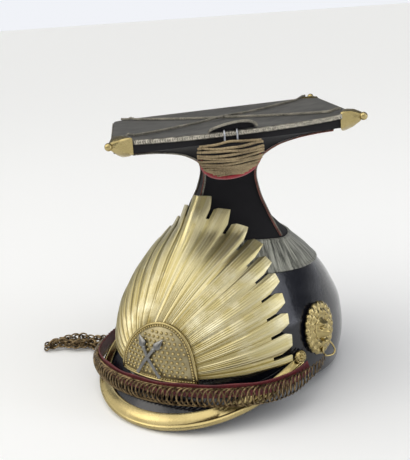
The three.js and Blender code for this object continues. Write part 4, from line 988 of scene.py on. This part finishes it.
def pearls(name, material):
    """A tree that sets a round bead on every point."""
    tree, given = plan(name, "Bead radius")
    points = add(tree, "GeometryNodeMeshToPoints", Mesh=given["Geometry"])
    bead = add(tree, "GeometryNodeMeshIcoSphere", Radius=given["Bead radius"], Subdivisions=3)
    smooth = add(tree, "GeometryNodeSetShadeSmooth", Geometry=bead)
    return hand_over(tree, add(tree, "GeometryNodeInstanceOnPoints", Points=points, Instance=smooth), material)


def spaced(points, places):
    """Points of a line, so far along it."""
    run = walked(points)
    return np.stack([np.interp(places, run, points[:, k]) for k in range(3)], -1)


pearl_tree, BEAD_PITCH = pearls("pearls", worn_gilt), 2.3
bead_way = on_medallion(0.912, 0.35)
bead_way = np.concatenate([bead_way, bead_way[:1]])
length = walked(bead_way)[-1]
beads = spaced(bead_way, np.linspace(0, length, int(length / BEAD_PITCH), endpoint=False))
grown("medallion_beads", in_place(beads)[:, None], pearl_tree, "plate_brass", Bead_radius=0.0011)

# the pearls stand in rows across the field, every other row shifted by half a pearl's pitch
PEARL_ACROSS, PEARL_UP = 4.3, 3.7
rim_x, rim_y = medal_outline[:, 0] * MEDAL_HALF, (medal_outline[:, 1] - MEDAL_MIDDLE) * MEDAL_HIGH
rim_angle, rim_reach = np.arctan2(rim_y, rim_x), np.hypot(rim_y, rim_x)
order = np.argsort(rim_angle)
field = []
for row in range(12):
    for col in range(-11, 12):
        x = (col + 0.5 * (row % 2)) * PEARL_ACROSS
        y = 2.4 + row * PEARL_UP - MEDAL_MIDDLE * MEDAL_HIGH
        edge_at = np.interp(math.atan2(y, x), rim_angle[order], rim_reach[order], period=2 * math.pi)
        share = math.hypot(x, y) / edge_at
        if share < 0.81:
            up = np.interp(share, *zip(*MEDAL_ROWS[:6]))
            field.append(on_front(MEDAL_ARC + x, PLATE_HEIGHT + MEDAL_MIDDLE * MEDAL_HIGH + y,
                                  MEDAL_LIFT + up + 0.1))
grown("medallion_pearls", in_place(field)[:, None], pearl_tree, "plate_brass", Bead_radius=0.0013)

# ---- Lances ----
# Two crossed lances of white metal, cast in one, with leaf-shaped heads. They are riveted to the medallion.

# cast white metal: blue-grey, polished on its edges
white_metal, place = begun("cast_white_metal")
finished(white_metal, Base_Color=tinted(noise(place, 160, 5), "4c4c4c", "9d9c98"), Metallic=1.0,
         Roughness=0.3)

# place along the lance, half width, thickness
LANCE = [(-19, 0.3, 0.2), (-18.8, 1.6, 1.0), (-17.2, 1.8, 1.1), (-16.6, 1.3, 0.9), (-2, 1.4, 0.9), (7.6, 1.4, 0.9),
         (8.0, 2.0, 1.2), (8.9, 2.0, 1.2), (9.2, 1.2, 0.8), (10.2, 2.2, 0.9), (11.2, 3.3, 1.1), (12.6, 3.4, 1.2),
         (15.4, 2.3, 1.0), (18.2, 1.0, 0.7), (20, 0.1, 0.1)]
LANCES_ARC, LANCES_HEIGHT, LANCES_LIFT = PLATE_ARC + 6, PLATE_HEIGHT + 19, MEDAL_LIFT + 1.6 + 1.4 + 0.65
spokes, shafts = circle(16), []
for lean_to, over in [(34, 0.0), (-34, 0.7)]:
    c, s = math.cos(math.radians(lean_to)), math.sin(math.radians(lean_to))
    rings = []
    for y, wide, thick in LANCE:
        x = wide * np.cos(spokes)
        up = LANCES_LIFT + over * math.exp(-(y / 7) ** 2) + thick * 0.75 * np.sin(spokes)
        rings.append(on_front(LANCES_ARC + c * x - s * y, LANCES_HEIGHT + s * x + c * y, up))
    shafts.append(skinned("lance", in_place(rings), around=True, capped=True))
settled(one_piece("crossed_lances", *shafts), "white_metal", "lances", material=white_metal, sharp=50)

# ---- Lion bosses ----
# Stamped brass masks of a lion, in a ring of mane locks, on both sides of the skull. Each holds a wire
# ring in its mouth, on which the chin chain hangs.

BOSS_RADIUS, BOSS_WIDE, BOSS_RIM, BOSS_RELIEF, BOSS_AT, BOSS_HEIGHT = 23.0, 0.88, 2.4, 10.0, 89, 44.0
# bumps of the face: how far beside its middle, on both sides, and up; half width, half height, size
# face, muzzle, bridge of the nose and its tip, brows, eyes, mouth, chin, cheeks
FACE = [(0, -0.04, 0.36, 0.42, 0.62), (0, -0.2, 0.19, 0.13, 0.36), (0, 0.04, 0.07, 0.2, 0.18),
        (0, -0.12, 0.09, 0.05, 0.12), (0.18, 0.19, 0.13, 0.07, 0.26), (0.18, 0.05, 0.08, 0.05, -0.2),
        (0, -0.38, 0.16, 0.055, -0.36), (0, -0.51, 0.13, 0.07, 0.2), (0.28, -0.12, 0.08, 0.14, 0.1)]


def lion(x, y):
    """Height of the mask, as a share of its relief, over a disc of radius 1."""
    away, turn = np.hypot(x, y), np.arctan2(x, y)
    outer_locks = np.abs(np.cos(10 * turn + 1.6 * (away - 0.85))) ** 0.6
    inner_locks = np.abs(np.cos(7 * turn - 2.0 * (away - 0.6))) ** 0.6
    mask = 0.16 * np.exp(-((away - 0.86) / 0.1) ** 2) * (0.3 + 0.7 * outer_locks)
    mask = mask + 0.3 * np.exp(-((away - 0.62) / 0.12) ** 2) * (0.45 + 0.55 * inner_locks)
    for beside, over, wide, high, size in FACE:
        for a in {-beside, beside}:
            mask = mask + size * np.exp(-((x - a) / wide) ** 2 - ((y - over) / high) ** 2)
    return np.maximum(0, mask)


# bronze wire: brown, tan where it is rubbed
bronze_wire, place = begun("browned_bronze_wire")
rubbed = ranged(noise(place, 260, 4), 0.36, 0.64)
finished(bronze_wire, Base_Color=tinted(rubbed, "3a2e20", "927d5c"), Metallic=1.0, Roughness=0.33)
bronze_tree = round_wire("bronze_ring_wire", bronze_wire)
brass_tree = round_wire("brass_ring_wire", worn_gilt)

# the wire ring: a little three-cornered, turned about two axes, and hung below the mouth
turn = circle(48)
wide = 6.4 * (1 + 0.1 * np.cos(3 * turn + math.pi / 2))
loop = np.stack([wide * np.cos(turn), wide * np.sin(turn), 0 * turn], -1)
tipped = np.array(Matrix.Rotation(math.radians(-20), 3, "Y") @ Matrix.Rotation(math.radians(-14), 3, "X"))
loop = loop @ tipped.T + [4.5, -18.5, BOSS_RIM + 4.6]

spokes = circle(160)
leaf = 1 - 0.055 * (1 - np.abs(np.cos(10 * spokes)))
leaf_x, leaf_y = leaf * np.sin(spokes), leaf * np.cos(spokes)
for name, side in [("left", 1), ("right", -1)]:
    at = math.radians(BOSS_AT) * side
    seat_at, above_it, below_it = [on_body(BOSS_HEIGHT + z, at, 0.3) for z in (0, 8, -8)]
    up = unit(above_it - below_it)
    out_from = unit(np.cross([0, side, 0], up))
    axes = np.array([BOSS_WIDE * np.cross(up, out_from), up, out_from])
    rings = [np.stack([0.5 * BOSS_RADIUS * np.sin(spokes), 0.5 * BOSS_RADIUS * np.cos(spokes), 0 * spokes], -1)]
    for share, off in [(0.985, 0), (1.0, 0.5), (1.0, 1.6), (0.985, 2.2)]:
        rings.append(np.stack([share * leaf_x * BOSS_RADIUS, share * leaf_y * BOSS_RADIUS, off + 0 * spokes], -1))
    for share in np.linspace(0.97, 0.01, 72):
        x, y = share * leaf_x, share * leaf_y
        rings.append(np.stack([x * BOSS_RADIUS, y * BOSS_RADIUS, BOSS_RIM + BOSS_RELIEF * lion(x, y)], -1))
    shell("lion_mask_" + name, in_place(seat_at + np.array(rings) @ axes), "plate_brass", "lion_boss_" + name,
          around=True, capped=True, material=worn_gilt)
    grown("mouth_ring_" + name, [in_place(seat_at + loop @ axes)], brass_tree, "chain_bronze", "boss_ring_" + name,
          looped=True, Wire_radius=0.0008, Step=0.0008)

# ---- Chin strap ----
# A strap of dark red leather, creased and cracked, with a bead pressed along both edges. It lies behind
# the chin chain and is sewn to it.

ROUTE = [(103.8, -7.6, 36.2), (104.5, -14, 33.4), (101.5, -30, 28.5), (99.5, -46, 27), (95, -65, 27.5),
         (86.5, -83, 29.3), (70.5, -97, 28.8), (52, -108.5, 28.7), (30, -118, 28), (6, -123, 27.5), (-24, -122, 26.2),
         (-47, -116.5, 25.2), (-65, -108.5, 24), (-80, -98.5, 22.5), (-93, -83, 21.5), (-102.4, -66, 20.5),
         (-107.3, -50, 21.5), (-107.6, -32, 26), (-105.4, -14, 33.4), (-103.8, -5.6, 36)]
STOPS = 260


def eased(points, count):
    """Evenly spaced points of a smooth curve through the given ones."""
    points = np.array(points, float)
    p = np.concatenate([[2 * points[0] - points[1]], points, [2 * points[-1] - points[-2]]])
    k = walked(p, 0.5)
    fine = []
    for i in range(1, len(p) - 2):
        t = np.linspace(k[i], k[i + 1], 40, endpoint=False)[:, None]
        near = list(p[i - 1:i + 3])
        for spans in [(-1, 0), (0, 1), (1, 2)], [(-1, 1), (0, 2)], [(0, 1)]:
            knots = [(k[i + a], k[i + b]) for a, b in spans]
            near = [(late - t) / (late - early) * near[n] + (t - early) / (late - early) * near[n + 1]
                    for n, (early, late) in enumerate(knots)]
        fine.append(near[0])
    fine = np.concatenate(fine + [points[-1:]])
    return spaced(fine, np.linspace(0, walked(fine)[-1], count))


# red-brown strap leather, greasy and cracked across
strap_leather, place = begun("dark_red_strap_leather")
cracked = cracks(place, 420, 0.1, 0.6)
tint = tinted(noise(place, 90, 6, 0.65), "2d0c11", "82282f")
finished(strap_leather, Base_Color=tinted(cracked, tint, "120809"), Roughness=0.5,
         Normal=raised(cracked, 0.4, 0.0004, invert=True))

way, stops = eased(ROUTE, STOPS), np.arange(STOPS)
along = unit(np.gradient(way, axis=0))
aside = unit(np.cross(along, [0, 0, 1.0]))
strap_top = np.cross(aside, along)
waved = 0.5 * np.sin(stops * 0.21)[:, None] * np.exp(-((stops - 130) / 110.0) ** 4)[:, None]
# the strap's section: how far inside the chain's line, and how far up
STRAP = [(2.3, -1.4), (3.1, -1.4), (3.3, -0.8), (3.1, 8.4), (3.5, 9.2), (3.2, 9.8), (2.5, 9.9), (2.1, 9.4),
         (2.3, 8.6)]
rings = np.stack([way + aside * a + strap_top * (b + waved) for a, b in STRAP], 1)[13:-13]
shell("chin_strap_leather", on_table(rings), "strap_leather", "chin_strap", around=True, capped=True,
      material=strap_leather, sharp=40)

# ---- Chin chain ----
# A flat chain of oval bronze rings, each through its neighbours, so that they lie over one another like
# scales. It narrows to a hook at both ends.

RING_OVAL = 0.84
tree, given = plan("scale_chain", "Ring radius", "Wire radius", "Pitch", "Slant")
tangent = add(tree, "GeometryNodeInputTangent")
turned = add(tree, "FunctionNodeAlignRotationToVector", axis="Z", pivot_axis="AUTO",
             Vector=figured("CROSS_PRODUCT", tangent, (0, 0, 1), kind="ShaderNodeVectorMath"))
on_end = add(tree, "FunctionNodeAlignRotationToVector", axis="X", pivot_axis="Z", Rotation=turned, Vector=(0, 0, 1))
spun = add(tree, "FunctionNodeAxisAngleToRotation", Axis=(0, 0, 1), Angle=given["Slant"])
slanted_ring = add(tree, "FunctionNodeRotateRotation", rotation_space="GLOBAL", Rotation=on_end, Rotate_By=spun)
to_end = figured("PINGPONG", add(tree, "GeometryNodeSplineParameter").outputs["Factor"], 0.5)
wire = add(tree, "GeometryNodeCurvePrimitiveCircle", Resolution=28, Radius=given["Ring radius"])
oval = add(tree, "GeometryNodeTransform", Geometry=wire, Scale=(1, RING_OVAL, 1))
strung = add(tree, "GeometryNodeInstanceOnPoints", Points=evenly(tree, given, "Pitch"),
             Instance=drawn(tree, oval, given["Wire radius"], 8), Rotation=slanted_ring,
             Scale=ranged(to_end, 0, 0.11, 0.42, 1))
hand_over(tree, strung, bronze_wire)
grown("chin_chain_rings", [on_table(way)], tree, "chain_bronze", "chin_chain", Ring_radius=0.0076,
      Wire_radius=0.00075, Pitch=0.0042, Slant=math.radians(26))

# ---- Chain's free tail ----
# The spare end of the chain, unhooked: oval rings of the same wire, each through the next, fallen in a
# heap of three strands beside the cap.

HEAP = [(-113, -46), (-119, -45.5), (-127, -46.5), (-138, -49), (-150, -54), (-162, -59.5), (-173, -66), (-181.5, -75),
        (-178, -81), (-171, -76), (-165, -69), (-156, -66.5), (-148, -61), (-141, -55.5), (-134, -56), (-129, -52),
        (-133, -43), (-142, -42.5), (-152, -47), (-161, -50.5), (-169, -57), (-176, -61)]
RINGS, RING_LONG, RING_SHORT, FIRST_ON_TOP, STRAND_LIFT = 52, 4.9, 3.9, 23, 2.6
way = eased([(x, y, 0) for x, y in HEAP], RINGS)
turn = circle(28)
rings = []
for k, (at, step) in enumerate(zip(way, np.gradient(way, axis=0))):
    tilt = math.radians((48 if k % 2 else -48) + 14 * math.sin(2.3 * k))
    c, s = step[:2] / np.linalg.norm(step[:2])
    a, b, up = [RING_LONG * np.cos(turn), RING_SHORT * np.sin(turn) * math.cos(tilt),
                RING_SHORT * np.sin(turn) * math.sin(tilt)]
    lift = RING_SHORT * abs(math.sin(tilt)) + 1.1 + STRAND_LIFT * (k >= FIRST_ON_TOP)
    rings.append(on_table(np.stack([at[0] + c * a - s * b, at[1] + s * a + c * b, up + lift], -1)))
grown("chain_tail_rings", rings, bronze_tree, "chain_bronze", "chain_tail", looped=True, Wire_radius=0.0008,
      Step=0.0012)
